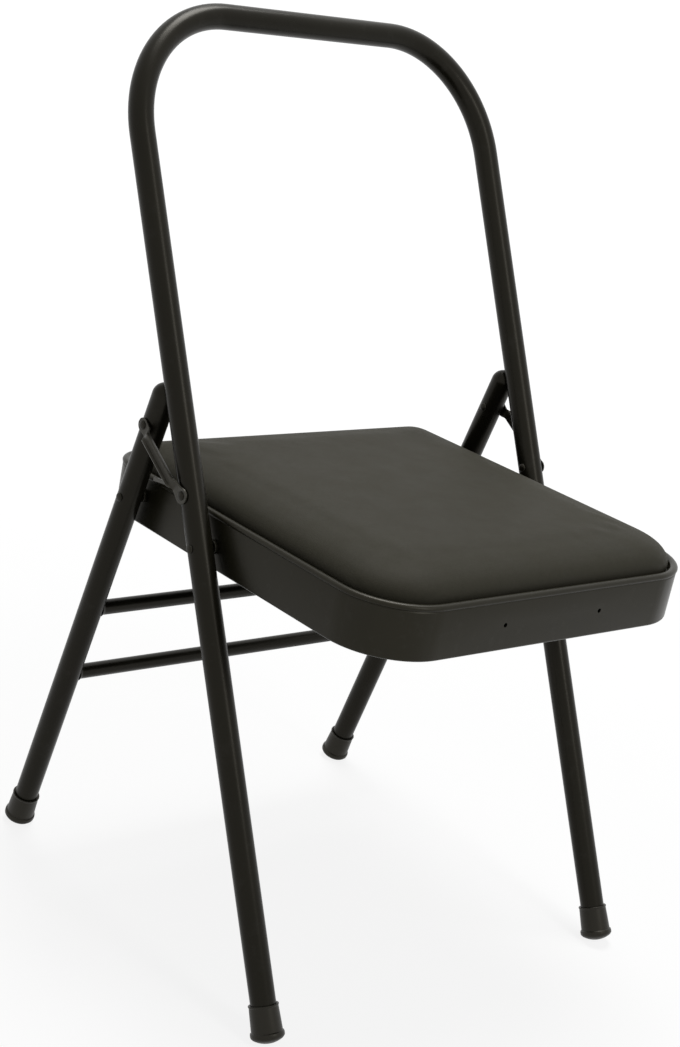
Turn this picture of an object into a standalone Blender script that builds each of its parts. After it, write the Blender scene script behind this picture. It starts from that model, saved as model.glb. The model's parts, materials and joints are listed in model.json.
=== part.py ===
"""Folding yoga chair without a backrest: a steel hoop, two rear legs, a padded seat pan.

Frame of the model: +Z up, the chair's front faces -Y, the floor is Z = 0, and the origin lies
on the floor under the middle of the bounding box. Sides are named as seen from the front, so
left is -X. Sizes are in metres and angles in degrees.
"""

from math import asin, atan2, cos, pi, radians, sin, sqrt

import bmesh
import bpy
from mathutils import Matrix, Vector

# Clearance between pieces that touch on the real chair
FIT = 0.0003

# Bent front tube: both front legs and the hoop in one piece
TUBE_RADIUS = 0.0125
TUBE_WALL = 0.0012
FRAME_HALF_WIDTH = 0.234
HOOP_LENGTH = 0.9924
HOOP_BEND_RADIUS = 0.1225
FRONT_TILT = 29.0

# Rear legs and their two crossbars, measured along the leg from the floor
REAR_FOOT_BACK = 0.4489
LEG_STOP_GAP = 0.0005
LEG_END_PAST_STOP = 0.0055
CROSSBAR_RADIUS = 0.008
CROSSBAR_WALL = 0.0012
LOWER_CROSSBAR_UP = 0.207
CROSSBAR_SPACING = 0.085

# Pivots: seat on front tube, link on front tube, seat on rear leg, link on rear leg; the seat
# slopes down to the rear, and its own sizes are measured level
SEAT_SLOPE = 0.9
SEAT_PIVOT_UP = 0.4724
LINK_PIVOT_ABOVE_SEAT_PIVOT = 0.0507
LEG_PIVOT_BACK = 0.1189
LEG_PIVOT_RISE = 0.0088
LINK_PIVOT_UP_LEG = 0.0840

# Seat pan, pressed from one sheet
SIDE_GAP = 0.005
SHEET = 0.0012
PAN_LENGTH = 0.4284
PAN_FRONT_TO_PIVOT = 0.2405
PAN_TOP_ABOVE_PIVOT = 0.0317
PAN_DEPTH = 0.0541
PAN_FRONT_CORNER = 0.070
PAN_REAR_CORNER = 0.040
BEAD_WIDTH = 0.008
BEAD_HEIGHT = 0.0056
BEAD_BULGE = 0.0006
CREASE_DEPTH = 0.0005
GROOVE_DEPTH = 0.0082
CURL_RADIUS = 0.0026
FRONT_HOLE_RADIUS = 0.00225
FRONT_HOLE_HALF_SPACING = 0.0646
FRONT_HOLE_BELOW_TOP = 0.0282

# Cushion: plywood board, foam and cover
BOARD_THICKNESS = 0.006
BOARD_EDGE = 0.0008
COVER_THICKNESS = 0.001
COVER_HEM = 0.014
CUSHION_SIDE_GAP = 0.0012
CUSHION_ROUNDING = 0.060
CUSHION_RISE = 0.0245
CUSHION_CROWN = 0.003
CUSHION_CORNER_LEFT = 0.004
FOAM_GAP = 0.0005
SCREW_RADIUS = 0.002
SCREW_HEAD_RADIUS = 0.0045
SCREW_HEAD_HEIGHT = 0.0022
SCREW_DEPTH = 0.0045
SCREW_HALF_SPACING_X = 0.120
SCREW_HALF_SPACING_Y = 0.125

# Rubber feet, measured along the tube from the foot's lowest point
FOOT_SPHERE_RADIUS = 0.026
FOOT_FLAT_DEPTH = 0.0006
FOOT_HEIGHT = 0.037
FOOT_SOLE = 0.012
FOOT_WALL = 0.0014
FOOT_TAPER = 0.0012
FOOT_BEAD = 0.0012
FOOT_LIP = 0.0006

# Rivets and spacers
RIVET_RADIUS = 0.003
RIVET_HEAD_RADIUS = 0.0044
RIVET_HEAD_HEIGHT = 0.0018
SPACER_RADIUS = 0.007

# Link, a channel stamped from one strip, measured from its front pivot to its rear pivot
LINK_THICKNESS = 0.0015
LINK_FRONT_EYE_RADIUS = 0.008
LINK_REAR_EYE_RADIUS = 0.0072
LINK_HALF_WIDTH = 0.006
LINK_JOGGLE = 0.003
LINK_FLANGE = 0.0042
LINK_FLANGE_DRAFT = 0.0012
LINK_FRONT_FLAT = 0.012
LINK_REAR_FLAT = 0.009
LINK_BLEND = 0.006
LINK_ARM_RIM = 0.0022
HOOK_OUTLINE = ((0.0175, 0.0052), (0.0230, 0.0052), (0.0362, 0.0148), (0.0336, 0.0182))
HOOK_BELOW_RIM = 0.0005

# Facets
TUBE_BEVEL_RESOLUTION = 6
BEND_STEPS = 9
LEG_STEPS = 18
SMALL_STEPS = 12
CORNER_STEPS = 6

# Materials: base colour, roughness, metallic
COATED_STEEL = ("coated_steel", (0.022, 0.022, 0.018), 0.42, 0.0)
COATED_SHEET = ("coated_sheet", (0.028, 0.028, 0.023), 0.45, 0.0)
COATED_RIVET = ("coated_rivet", (0.024, 0.024, 0.020), 0.38, 0.2)
DARK_RUBBER = ("dark_rubber", (0.012, 0.012, 0.011), 0.60, 0.0)
FAUX_LEATHER = ("faux_leather", (0.066, 0.064, 0.056), 0.62, 0.0)
SEAT_FOAM = ("seat_foam", (0.62, 0.55, 0.38), 0.95, 0.0)
PLYWOOD = ("plywood", (0.48, 0.32, 0.17), 0.80, 0.0)
ZINC = ("zinc_steel", (0.55, 0.55, 0.56), 0.35, 1.0)


# Directions and points in the side view, as (Y, Z) measured from the front tube's floor point
front_tilt = radians(FRONT_TILT)
front_up = Vector((0.0, sin(front_tilt), cos(front_tilt)))
rear_floor = Vector((0.0, REAR_FOOT_BACK, 0.0))
pivot_a = front_up * SEAT_PIVOT_UP
pivot_d = front_up * (SEAT_PIVOT_UP + LINK_PIVOT_ABOVE_SEAT_PIVOT)
seat_slope = radians(SEAT_SLOPE)
seat_turn = Matrix.Rotation(-seat_slope, 3, "X")
pivot_b = pivot_a + seat_turn @ Vector((0.0, LEG_PIVOT_BACK, LEG_PIVOT_RISE))
rear_up = (pivot_b - rear_floor).normalized()
rear_tilt = atan2(-rear_up.y, rear_up.z)
pivot_c = pivot_b + rear_up * LINK_PIVOT_UP_LEG

# The rear leg's domed end stops against the back of the front tube, and is dished to seat there
stop_offset = 2.0 * TUBE_RADIUS + LEG_STOP_GAP
stop_up = (REAR_FOOT_BACK * cos(front_tilt) - stop_offset) / sin(front_tilt + rear_tilt)
dome_up = stop_up + LEG_END_PAST_STOP

# Planes across the chair, for the right-hand side
tube_outer = FRAME_HALF_WIDTH + TUBE_RADIUS
tube_inner = FRAME_HALF_WIDTH - TUBE_RADIUS
pan_half_width = tube_inner - SIDE_GAP
pan_inside = pan_half_width - SHEET
link_inner = tube_outer + FIT
link_outer = link_inner + LINK_THICKNESS
hole_radius = RIVET_RADIUS + FIT

# Heights and ends of the seat
pan_front = pivot_a.y - PAN_FRONT_TO_PIVOT
pan_rear = pan_front + PAN_LENGTH
pan_top = pivot_a.z + PAN_TOP_ABOVE_PIVOT
pan_bottom = pan_top - PAN_DEPTH
deck_top = pan_top - GROOVE_DEPTH
cover_bottom = deck_top + FIT
board_bottom = cover_bottom + COVER_THICKNESS + FIT
board_top = board_bottom + BOARD_THICKNESS
cushion_side = BEAD_WIDTH + CUSHION_SIDE_GAP


def foot_profile():
    """Outline of a foot as (radius, height above its lowest point), from its bore to its tip."""
    bore = TUBE_RADIUS + FIT
    waist = bore + FOOT_WALL
    skirt = waist + FOOT_TAPER
    bead = skirt + FOOT_BEAD
    edge_angle = atan2(bead, sqrt(FOOT_SPHERE_RADIUS ** 2 - bead ** 2))
    edge_height = FOOT_SPHERE_RADIUS * (1.0 - cos(edge_angle))
    bead_top = edge_height + 4.0 * FOOT_BEAD
    lip_bottom = FOOT_HEIGHT - 3.0 * FOOT_LIP
    outline = [
        (0.0, FOOT_SOLE),
        (bore, FOOT_SOLE),
        (bore, FOOT_HEIGHT),
        (waist, FOOT_HEIGHT),
        (waist + FOOT_LIP, FOOT_HEIGHT - FOOT_LIP),
        (waist + FOOT_LIP, lip_bottom),
        (waist, lip_bottom - FOOT_LIP),
        (skirt, bead_top + FOOT_BEAD),
        (bead - 0.3 * FOOT_BEAD, bead_top - 0.3 * FOOT_BEAD),
        (bead, bead_top - 1.5 * FOOT_BEAD),
    ]
    for step in range(6):
        angle = edge_angle * (1.0 - step / 5.0)
        radius = FOOT_SPHERE_RADIUS * sin(angle)
        height = FOOT_SPHERE_RADIUS * (1.0 - cos(angle))
        outline.append((radius, height))
    return outline


def foot_tip_up(tilt):
    """Distance along a leaning tube from the floor to the tip of its foot."""
    centre_height = FOOT_SPHERE_RADIUS - FOOT_FLAT_DEPTH
    return centre_height / cos(tilt) - FOOT_SPHERE_RADIUS


# The origin goes half way between the foremost point, of the seat or a foot, and the hoop's back
front_tip = foot_tip_up(front_tilt)
foot_front = min(
    (front_tip + height) * sin(front_tilt) - radius * cos(front_tilt)
    for radius, height in foot_profile()
)
hem_above_pivot = PAN_TOP_ABOVE_PIVOT - PAN_DEPTH + CURL_RADIUS
pan_reach = PAN_FRONT_TO_PIVOT * cos(seat_slope) - hem_above_pivot * sin(seat_slope)
foremost = min(foot_front, pivot_a.y - pan_reach)
rearmost = HOOP_LENGTH * sin(front_tilt) + TUBE_RADIUS
shift = Vector((0.0, -(foremost + rearmost) / 2.0, 0.0))

front_floor = shift
rear_floor = rear_floor + shift
pivot_a = pivot_a + shift
pivot_b = pivot_b + shift
pivot_c = pivot_c + shift
pivot_d = pivot_d + shift
pan_front = pan_front + shift.y
pan_rear = pan_rear + shift.y
pan_middle = (pan_front + pan_rear) / 2.0


def seat_point(across, along, height):
    """Place on the sloping seat, from its place on the level one."""
    return pivot_a + seat_turn @ (Vector((across, along, height)) - pivot_a)


def clear_scene():
    """Remove every object and the collections left empty by that."""
    for old in list(bpy.data.objects):
        bpy.data.objects.remove(old, do_unlink=True)
    for old in list(bpy.data.collections):
        bpy.data.collections.remove(old)


def new_collection(name):
    """Add a collection to the scene."""
    collection = bpy.data.collections.new(name)
    bpy.context.scene.collection.children.link(collection)
    return collection


clear_scene()
chair = new_collection("folding_yoga_chair")
cutters = new_collection("cutters")


def material(spec):
    """Principled material from (name, colour, roughness, metallic), made once."""
    name, colour, roughness, metallic = spec
    made = bpy.data.materials.get(name)
    if made is None:
        made = bpy.data.materials.new(name)
        made.use_nodes = True
        shader = made.node_tree.nodes["Principled BSDF"]
        shader.inputs["Base Color"].default_value = (*colour, 1.0)
        shader.inputs["Roughness"].default_value = roughness
        shader.inputs["Metallic"].default_value = metallic
        made.diffuse_color = (*colour, 1.0)
    return made


def piece_material(name, spec):
    """A piece's own material, named for the piece."""
    return material((name, spec[1], spec[2], spec[3]))


def new_empty(name, position, parent=None):
    """Empty that stands on a joint's axis and carries the pieces that turn about it."""
    empty = bpy.data.objects.new(name, None)
    empty.empty_display_size = 0.03
    chair.objects.link(empty)
    empty["pivot"] = tuple(position)
    empty.parent = parent
    base = Vector(parent["pivot"]) if parent else Vector()
    empty.location = position - base
    return empty


def new_piece(name, mesh, position, rotation, parent, spec):
    """Object of the chair with its own material, placed in world coordinates."""
    piece = bpy.data.objects.new(name, mesh)
    chair.objects.link(piece)
    piece.parent = parent
    piece.location = position - Vector(parent["pivot"])
    piece.rotation_euler = rotation
    mesh.materials.clear()
    mesh.materials.append(piece_material(name, spec))
    return piece


def evaluated_mesh(scratch, angle=35.0):
    """Mesh of a helper object with its modifiers applied, shaded smooth; the helper goes."""
    bpy.context.view_layer.update()
    depsgraph = bpy.context.evaluated_depsgraph_get()
    mesh = bpy.data.meshes.new_from_object(scratch.evaluated_get(depsgraph))
    bm = bmesh.new()
    bm.from_mesh(mesh)
    bmesh.ops.remove_doubles(bm, verts=bm.verts, dist=0.000001)
    bm.to_mesh(mesh)
    bm.free()
    bpy.data.objects.remove(scratch, do_unlink=True)
    mesh.shade_smooth()
    mesh.set_sharp_from_angle(angle=radians(angle))
    return mesh


def scratch_object(name, data):
    """Helper object, removed again once its mesh is taken."""
    scratch = bpy.data.objects.new(name + "_scratch", data)
    cutters.objects.link(scratch)
    return scratch


def turned_mesh(name, outline, steps):
    """Solid of revolution about Z; the outline's outer side runs from top to bottom."""
    mesh = bpy.data.meshes.new(name)
    points = [(radius, 0.0, height) for radius, height in outline]
    edges = [(index, index + 1) for index in range(len(points) - 1)]
    if outline[0][0] > 0.0:
        edges.append((len(points) - 1, 0))
    mesh.from_pydata(points, edges, [])
    scratch = scratch_object(name, mesh)
    screw = scratch.modifiers.new("Screw", "SCREW")
    screw.axis = "Z"
    screw.steps = steps
    screw.render_steps = steps
    screw.use_merge_vertices = True
    screw.merge_threshold = 0.00001
    return evaluated_mesh(scratch)


def tube_mesh(name, path, radius, wall, resolution):
    """Open-ended tube along a path of points, hollowed by Solidify."""
    curve = bpy.data.curves.new(name, "CURVE")
    curve.dimensions = "3D"
    curve.bevel_depth = radius
    curve.bevel_resolution = resolution
    spline = curve.splines.new("POLY")
    spline.points.add(len(path) - 1)
    for point, place in zip(spline.points, path):
        point.co = (place[0], place[1], place[2], 1.0)
    scratch = scratch_object(name, curve)
    skin = evaluated_mesh(scratch)
    hollow = scratch_object(name, skin)
    solidify = hollow.modifiers.new("Solidify", "SOLIDIFY")
    solidify.thickness = wall
    solidify.offset = -1.0
    solidify.use_even_offset = True
    return evaluated_mesh(hollow)


def new_cutter(name, mesh, position=(0.0, 0.0, 0.0), rotation=(0.0, 0.0, 0.0)):
    """Solid that cuts or joins another, in its own collection and left out of the model."""
    cutter = bpy.data.objects.new(name, mesh)
    cutters.objects.link(cutter)
    cutter.location = position
    cutter.rotation_euler = rotation
    cutter.display_type = "WIRE"
    cutter.hide_render = True
    return cutter


def cylinder_cutter(name, radius, length, position, rotation, steps=SMALL_STEPS):
    """Cylinder along its local Z, centred on its position."""
    bm = bmesh.new()
    bmesh.ops.create_cone(
        bm, cap_ends=True, segments=steps, radius1=radius, radius2=radius, depth=length
    )
    mesh = bpy.data.meshes.new(name)
    bm.to_mesh(mesh)
    bm.free()
    return new_cutter(name, mesh, position, rotation)


def box_cutter(name, size, position):
    """Box of the given size, centred on its position."""
    bm = bmesh.new()
    bmesh.ops.create_cube(bm, size=1.0)
    bmesh.ops.scale(bm, vec=size, verts=bm.verts)
    mesh = bpy.data.meshes.new(name)
    bm.to_mesh(mesh)
    bm.free()
    return new_cutter(name, mesh, position)


def cut(piece, *tools):
    """Take cutting solids out of a piece."""
    for tool in tools:
        boolean = piece.modifiers.new("Cut " + tool.name, "BOOLEAN")
        boolean.operation = "DIFFERENCE"
        boolean.solver = "EXACT"
        boolean.object = tool


def join(piece, other):
    """Make another solid one with a piece."""
    boolean = piece.modifiers.new("Join " + other.name, "BOOLEAN")
    boolean.operation = "UNION"
    boolean.solver = "EXACT"
    boolean.object = other


ACROSS = (0.0, pi / 2.0, 0.0)
SLOPED = (-seat_slope, 0.0, 0.0)


def side_turn(side):
    """Rotation that points a turned piece's top outwards on the given side."""
    return (0.0, side * pi / 2.0, 0.0)


# Bodies of the linkage, each carried by an empty on its pivot
frame_body = new_empty("front_frame", front_floor)
seat_body = new_empty("seat_pivot", pivot_a, frame_body)
leg_body = new_empty("rear_leg_pivot", pivot_b, seat_body)
link_body = new_empty("link_pivot", pivot_d, frame_body)

# Cutters shared by the pieces that a rivet or the floor passes through
full_width = 2.0 * (tube_outer + TUBE_RADIUS)
hole_a = cylinder_cutter("cut_seat_pivot", hole_radius, full_width, pivot_a, ACROSS)
hole_b = cylinder_cutter("cut_leg_pivot", hole_radius, full_width, pivot_b, ACROSS)
hole_d = cylinder_cutter("cut_link_pivot", hole_radius, full_width, pivot_d, ACROSS)
hole_c = cylinder_cutter(
    "cut_link_pivot_on_leg", hole_radius, 2.0 * FRAME_HALF_WIDTH, pivot_c, ACROSS
)
floor_depth = 2.0 * FOOT_SPHERE_RADIUS
floor = box_cutter(
    "cut_floor",
    (4.0 * FRAME_HALF_WIDTH, 4.0 * REAR_FOOT_BACK, floor_depth),
    (0.0, 0.0, -floor_depth / 2.0),
)


def hoop_path(start):
    """Front tube's axis in its own plane, up one side, over and down the other."""
    top_corner = HOOP_LENGTH - HOOP_BEND_RADIUS
    side_corner = FRAME_HALF_WIDTH - HOOP_BEND_RADIUS
    half = [(-FRAME_HALF_WIDTH, 0.0, start)]
    for step in range(BEND_STEPS + 1):
        angle = pi / 2.0 * step / BEND_STEPS
        across = -side_corner - HOOP_BEND_RADIUS * cos(angle)
        along = top_corner + HOOP_BEND_RADIUS * sin(angle)
        half.append((across, 0.0, along))
    return half + [(-across, 0.0, along) for across, _, along in reversed(half)]


tube_start = front_tip + FOOT_SOLE + FIT
hoop_mesh = tube_mesh(
    "front_tube_hoop", hoop_path(tube_start), TUBE_RADIUS, TUBE_WALL, TUBE_BEVEL_RESOLUTION
)
hoop = new_piece(
    "front_tube_hoop", hoop_mesh, front_floor, (-front_tilt, 0.0, 0.0), frame_body, COATED_STEEL
)
cut(hoop, hole_a, hole_d)


def leg_profile(start):
    """Rear leg's section: open at the foot, closed by a thick dome at the top."""
    inner_radius = TUBE_RADIUS - TUBE_WALL
    inner_up = stop_up - LEG_END_PAST_STOP
    outline = []
    for step in range(6):
        angle = pi / 2.0 * step / 5.0
        outline.append((TUBE_RADIUS * sin(angle), dome_up + TUBE_RADIUS * cos(angle)))
    outline.append((TUBE_RADIUS, start))
    outline.append((inner_radius, start))
    for step in range(4, -1, -1):
        angle = pi / 2.0 * step / 4.0
        outline.append((inner_radius * sin(angle), inner_up + inner_radius * cos(angle)))
    return outline


rear_tip = foot_tip_up(rear_tilt)
rear_start = rear_tip + FOOT_SOLE + FIT
front_middle = front_floor + front_up * HOOP_LENGTH / 2.0
for side, side_name in ((-1.0, "left"), (1.0, "right")):
    leg_name = "rear_leg_" + side_name
    leg = new_piece(
        leg_name,
        turned_mesh(leg_name, leg_profile(rear_start), LEG_STEPS),
        rear_floor + Vector((side * FRAME_HALF_WIDTH, 0.0, 0.0)),
        (rear_tilt, 0.0, 0.0),
        leg_body,
        COATED_STEEL,
    )
    dish = cylinder_cutter(
        "cut_leg_dish_" + side_name,
        TUBE_RADIUS + LEG_STOP_GAP,
        HOOP_LENGTH,
        front_middle + Vector((side * FRAME_HALF_WIDTH, 0.0, 0.0)),
        (-front_tilt, 0.0, 0.0),
        LEG_STEPS * 2,
    )
    cut(leg, hole_b, hole_c, dish)


# Crossbars are coped to the legs
leg_length = dome_up + TUBE_RADIUS
cope_cutters = []
for side, side_name in ((-1.0, "left"), (1.0, "right")):
    middle = rear_floor + rear_up * leg_length / 2.0 + Vector((side * FRAME_HALF_WIDTH, 0.0, 0.0))
    cope_cutters.append(
        cylinder_cutter(
            "cut_cope_" + side_name,
            TUBE_RADIUS + FIT,
            leg_length,
            middle,
            (rear_tilt, 0.0, 0.0),
            LEG_STEPS * 2,
        )
    )
bar_reach = FRAME_HALF_WIDTH - TUBE_RADIUS / 4.0
for bar_name, bar_up in (
    ("rear_crossbar_lower", LOWER_CROSSBAR_UP),
    ("rear_crossbar_upper", LOWER_CROSSBAR_UP + CROSSBAR_SPACING),
):
    bar_path = [(-bar_reach, 0.0, 0.0), (bar_reach, 0.0, 0.0)]
    bar = new_piece(
        bar_name,
        tube_mesh(bar_name, bar_path, CROSSBAR_RADIUS, CROSSBAR_WALL, 6),
        rear_floor + rear_up * bar_up,
        (rear_tilt, 0.0, 0.0),
        leg_body,
        COATED_STEEL,
    )
    cut(bar, *cope_cutters)


# Rubber feet follow the lean of their tubes and are cut flat by the floor
for end_name, base, direction, tip, tilt, body in (
    ("front", front_floor, front_up, front_tip, -front_tilt, frame_body),
    ("rear", rear_floor, rear_up, rear_tip, rear_tilt, leg_body),
):
    for side, side_name in ((-1.0, "left"), (1.0, "right")):
        foot_name = "rubber_foot_" + end_name + "_" + side_name
        foot = new_piece(
            foot_name,
            turned_mesh(foot_name, foot_profile(), LEG_STEPS),
            base + direction * tip + Vector((side * FRAME_HALF_WIDTH, 0.0, 0.0)),
            (tilt, 0.0, 0.0),
            body,
            DARK_RUBBER,
        )
        cut(foot, floor)


def seat_outline(inset, height):
    """Rounded rectangle of the seat, drawn in by an inset, at a height above the seat pivot."""
    corners = (
        (1.0, pan_front, PAN_FRONT_CORNER, -90.0),
        (1.0, pan_rear, PAN_REAR_CORNER, 0.0),
        (-1.0, pan_rear, PAN_REAR_CORNER, 90.0),
        (-1.0, pan_front, PAN_FRONT_CORNER, 180.0),
    )
    ring = []
    for side, end, corner, start in corners:
        centre_x = side * (pan_half_width - corner)
        inward = 1.0 if end == pan_front else -1.0
        centre_y = end + inward * corner
        for step in range(CORNER_STEPS + 1):
            angle = radians(start + 90.0 * step / CORNER_STEPS)
            radius = corner - inset
            across = centre_x + radius * cos(angle)
            along = centre_y + radius * sin(angle)
            ring.append(Vector((across, along, height)) - pivot_a)
    return ring


def shrunk_ring(ring, share, height):
    """Ring drawn towards the seat's middle, at another height."""
    centre = Vector((0.0, pan_middle, 0.0)) - pivot_a
    shrunk = []
    for point in ring:
        across = centre.x + (point.x - centre.x) * share
        along = centre.y + (point.y - centre.y) * share
        shrunk.append(Vector((across, along, height - pivot_a.z)))
    return shrunk


def lofted_sheet(name, rings):
    """Open surface through closed rings of equal length, capped over the last ring."""
    bm = bmesh.new()
    previous = None
    for ring in rings:
        verts = [bm.verts.new(point) for point in ring]
        edges = []
        for index, vert in enumerate(verts):
            edges.append(bm.edges.new((vert, verts[(index + 1) % len(verts)])))
        if previous:
            bmesh.ops.bridge_loops(bm, edges=previous + edges)
        previous = edges
    cap = bmesh.ops.contextual_create(bm, geom=previous)["faces"][0]
    bmesh.ops.recalc_face_normals(bm, faces=bm.faces)
    if cap.normal.z < 0.0:
        bmesh.ops.reverse_faces(bm, faces=bm.faces)
    mesh = bpy.data.meshes.new(name)
    bm.to_mesh(mesh)
    bm.free()
    return mesh


def thickened(name, sheet, thickness, angle=35.0):
    """Sheet given its thickness on the side away from its normals."""
    scratch = scratch_object(name, sheet)
    solidify = scratch.modifiers.new("Solidify", "SOLIDIFY")
    solidify.thickness = thickness
    solidify.offset = -1.0
    solidify.use_even_offset = True
    return evaluated_mesh(scratch, angle)


def pan_section():
    """Pan's section as (inset, height) from the curled hem over the rim bead to the deck."""
    section = [(2.0 * CURL_RADIUS, pan_bottom)]
    for step in range(4):
        angle = pi / 2.0 * (1.0 - step / 3.0)
        inset = CURL_RADIUS * (1.0 - cos(angle))
        section.append((inset, pan_bottom + CURL_RADIUS * (1.0 - sin(angle))))
    bead_bottom = pan_top - BEAD_HEIGHT
    section.append((0.0, bead_bottom - CREASE_DEPTH * 2.0))
    section.append((CREASE_DEPTH, bead_bottom))
    half_width = (BEAD_WIDTH + BEAD_BULGE) / 2.0
    half_height = BEAD_HEIGHT * 0.6
    for step in range(8):
        angle = radians(200.0 - 200.0 * step / 7.0)
        inset = half_width - BEAD_BULGE + half_width * cos(angle)
        section.append((inset, pan_top - half_height + half_height * sin(angle)))
    section.append((BEAD_WIDTH, deck_top + SHEET))
    section.append((BEAD_WIDTH + SHEET, deck_top))
    return section


pan_rings = [seat_outline(inset, height) for inset, height in pan_section()]
pan = new_piece(
    "seat_pan",
    thickened("seat_pan", lofted_sheet("seat_pan", pan_rings), SHEET),
    pivot_a,
    SLOPED,
    seat_body,
    COATED_SHEET,
)
cut(pan, hole_a, hole_b)
for side, side_name in ((-1.0, "left"), (1.0, "right")):
    across = side * FRONT_HOLE_HALF_SPACING
    front_hole = cylinder_cutter(
        "cut_front_hole_" + side_name,
        FRONT_HOLE_RADIUS,
        20.0 * SHEET,
        seat_point(across, pan_front, pan_top - FRONT_HOLE_BELOW_TOP),
        (pi / 2.0 - seat_slope, 0.0, 0.0),
    )
    cut(pan, front_hole)


def side_arc(inset, low, high, rounding, bottom, steps=8):
    """Elliptic arc from a side, upright at the low height, into the top, as (inset, height)."""
    first = asin((bottom - low) / (high - low))
    arc = []
    for step in range(steps + 1):
        angle = first + (pi / 2.0 - first) * step / steps
        arc.append((inset + rounding * (1.0 - cos(angle)), low + (high - low) * sin(angle)))
    return arc


def crowned_rings(section, edge_height, crown):
    """Rings of a section, drawn to the middle past the corners and on over a crowned top."""
    last_inset = min(PAN_FRONT_CORNER, PAN_REAR_CORNER) - CUSHION_CORNER_LEFT
    rings = []
    for inset, height in section:
        if inset <= last_inset:
            outline_inset = inset
            outline_ring = seat_outline(inset, height)
            rings.append(outline_ring)
        else:
            share = 1.0 - (inset - outline_inset) / (pan_half_width - outline_inset)
            rings.append(shrunk_ring(outline_ring, share, height))
    edge_ring = rings[-1]
    for share in (0.8, 0.5, 0.15):
        rings.append(shrunk_ring(edge_ring, share, edge_height + crown * (1.0 - share ** 2)))
    return rings


# Cover: hemmed under the board, swelling above it over broad shoulders to a crowned top
cushion_low = board_top
cushion_edge = pan_top + CUSHION_RISE
cover_section = [
    (cushion_side + COVER_HEM, cover_bottom),
    (cushion_side + COVER_THICKNESS, cover_bottom),
    (cushion_side, cover_bottom + COVER_THICKNESS),
]
cover_section += side_arc(
    cushion_side, cushion_low, cushion_edge, CUSHION_ROUNDING, cushion_low
)
cover_rings = crowned_rings(cover_section, cushion_edge, CUSHION_CROWN)
new_piece(
    "cushion_cover",
    thickened("cushion_cover", lofted_sheet("cushion_cover", cover_rings), COVER_THICKNESS, 60.0),
    pivot_a,
    SLOPED,
    seat_body,
    FAUX_LEATHER,
)


def closed_block(name, rings, angle=35.0):
    """Closed solid through rings, capped over the first and the last."""
    mesh = lofted_sheet(name, rings)
    bm = bmesh.new()
    bm.from_mesh(mesh)
    rim = [edge for edge in bm.edges if edge.is_boundary]
    bmesh.ops.contextual_create(bm, geom=rim)
    bmesh.ops.recalc_face_normals(bm, faces=bm.faces)
    bm.to_mesh(mesh)
    bm.free()
    mesh.shade_smooth()
    mesh.set_sharp_from_angle(angle=radians(angle))
    return mesh


# Foam fills the cover above the board
foam_inset = cushion_side + COVER_THICKNESS + FOAM_GAP
foam_bottom = board_top + FIT
foam_edge = cushion_edge - COVER_THICKNESS - FOAM_GAP
foam_rounding = CUSHION_ROUNDING - COVER_THICKNESS - FOAM_GAP
foam_section = side_arc(foam_inset, cushion_low, foam_edge, foam_rounding, foam_bottom)
foam_rings = crowned_rings(foam_section, foam_edge, CUSHION_CROWN)
new_piece(
    "cushion_foam",
    closed_block("cushion_foam", foam_rings, 60.0),
    pivot_a,
    SLOPED,
    seat_body,
    SEAT_FOAM,
)

# Plywood board under the foam, with a pilot hole for each screw
board_inset = cushion_side + COVER_THICKNESS + FIT
board_section = [
    (board_inset + BOARD_EDGE, board_bottom),
    (board_inset, board_bottom + BOARD_EDGE),
    (board_inset, board_top - BOARD_EDGE),
    (board_inset + BOARD_EDGE, board_top),
]
board_rings = [seat_outline(inset, height) for inset, height in board_section]
board = new_piece(
    "seat_board",
    closed_block("seat_board", board_rings),
    pivot_a,
    SLOPED,
    seat_body,
    PLYWOOD,
)

# Four screws hold the board from under the deck
head_top = deck_top - SHEET - FIT
screw_tip = board_bottom + SCREW_DEPTH
hole_bottom = head_top
hole_top = screw_tip + FIT
screw_profile = [
    (0.0, screw_tip - head_top),
    (SCREW_RADIUS * 0.5, screw_tip - head_top),
    (SCREW_RADIUS, screw_tip - head_top - SCREW_RADIUS),
    (SCREW_RADIUS, 0.0),
    (SCREW_HEAD_RADIUS, 0.0),
    (SCREW_HEAD_RADIUS, -SCREW_HEAD_HEIGHT * 0.4),
    (SCREW_HEAD_RADIUS * 0.8, -SCREW_HEAD_HEIGHT * 0.85),
    (SCREW_HEAD_RADIUS * 0.5, -SCREW_HEAD_HEIGHT),
    (0.0, -SCREW_HEAD_HEIGHT),
]
for end, end_name in ((-1.0, "front"), (1.0, "rear")):
    for side, side_name in ((-1.0, "left"), (1.0, "right")):
        across = side * SCREW_HALF_SPACING_X
        along = pan_middle + end * SCREW_HALF_SPACING_Y
        screw_name = "board_screw_" + end_name + "_" + side_name
        new_piece(
            screw_name,
            turned_mesh(screw_name, screw_profile, SMALL_STEPS),
            seat_point(across, along, head_top),
            SLOPED,
            seat_body,
            ZINC,
        )
        screw_hole = cylinder_cutter(
            "cut_" + screw_name,
            SCREW_RADIUS + FIT,
            hole_top - hole_bottom,
            seat_point(across, along, (hole_top + hole_bottom) / 2.0),
            SLOPED,
        )
        cut(pan, screw_hole)
        cut(board, screw_hole)


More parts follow.
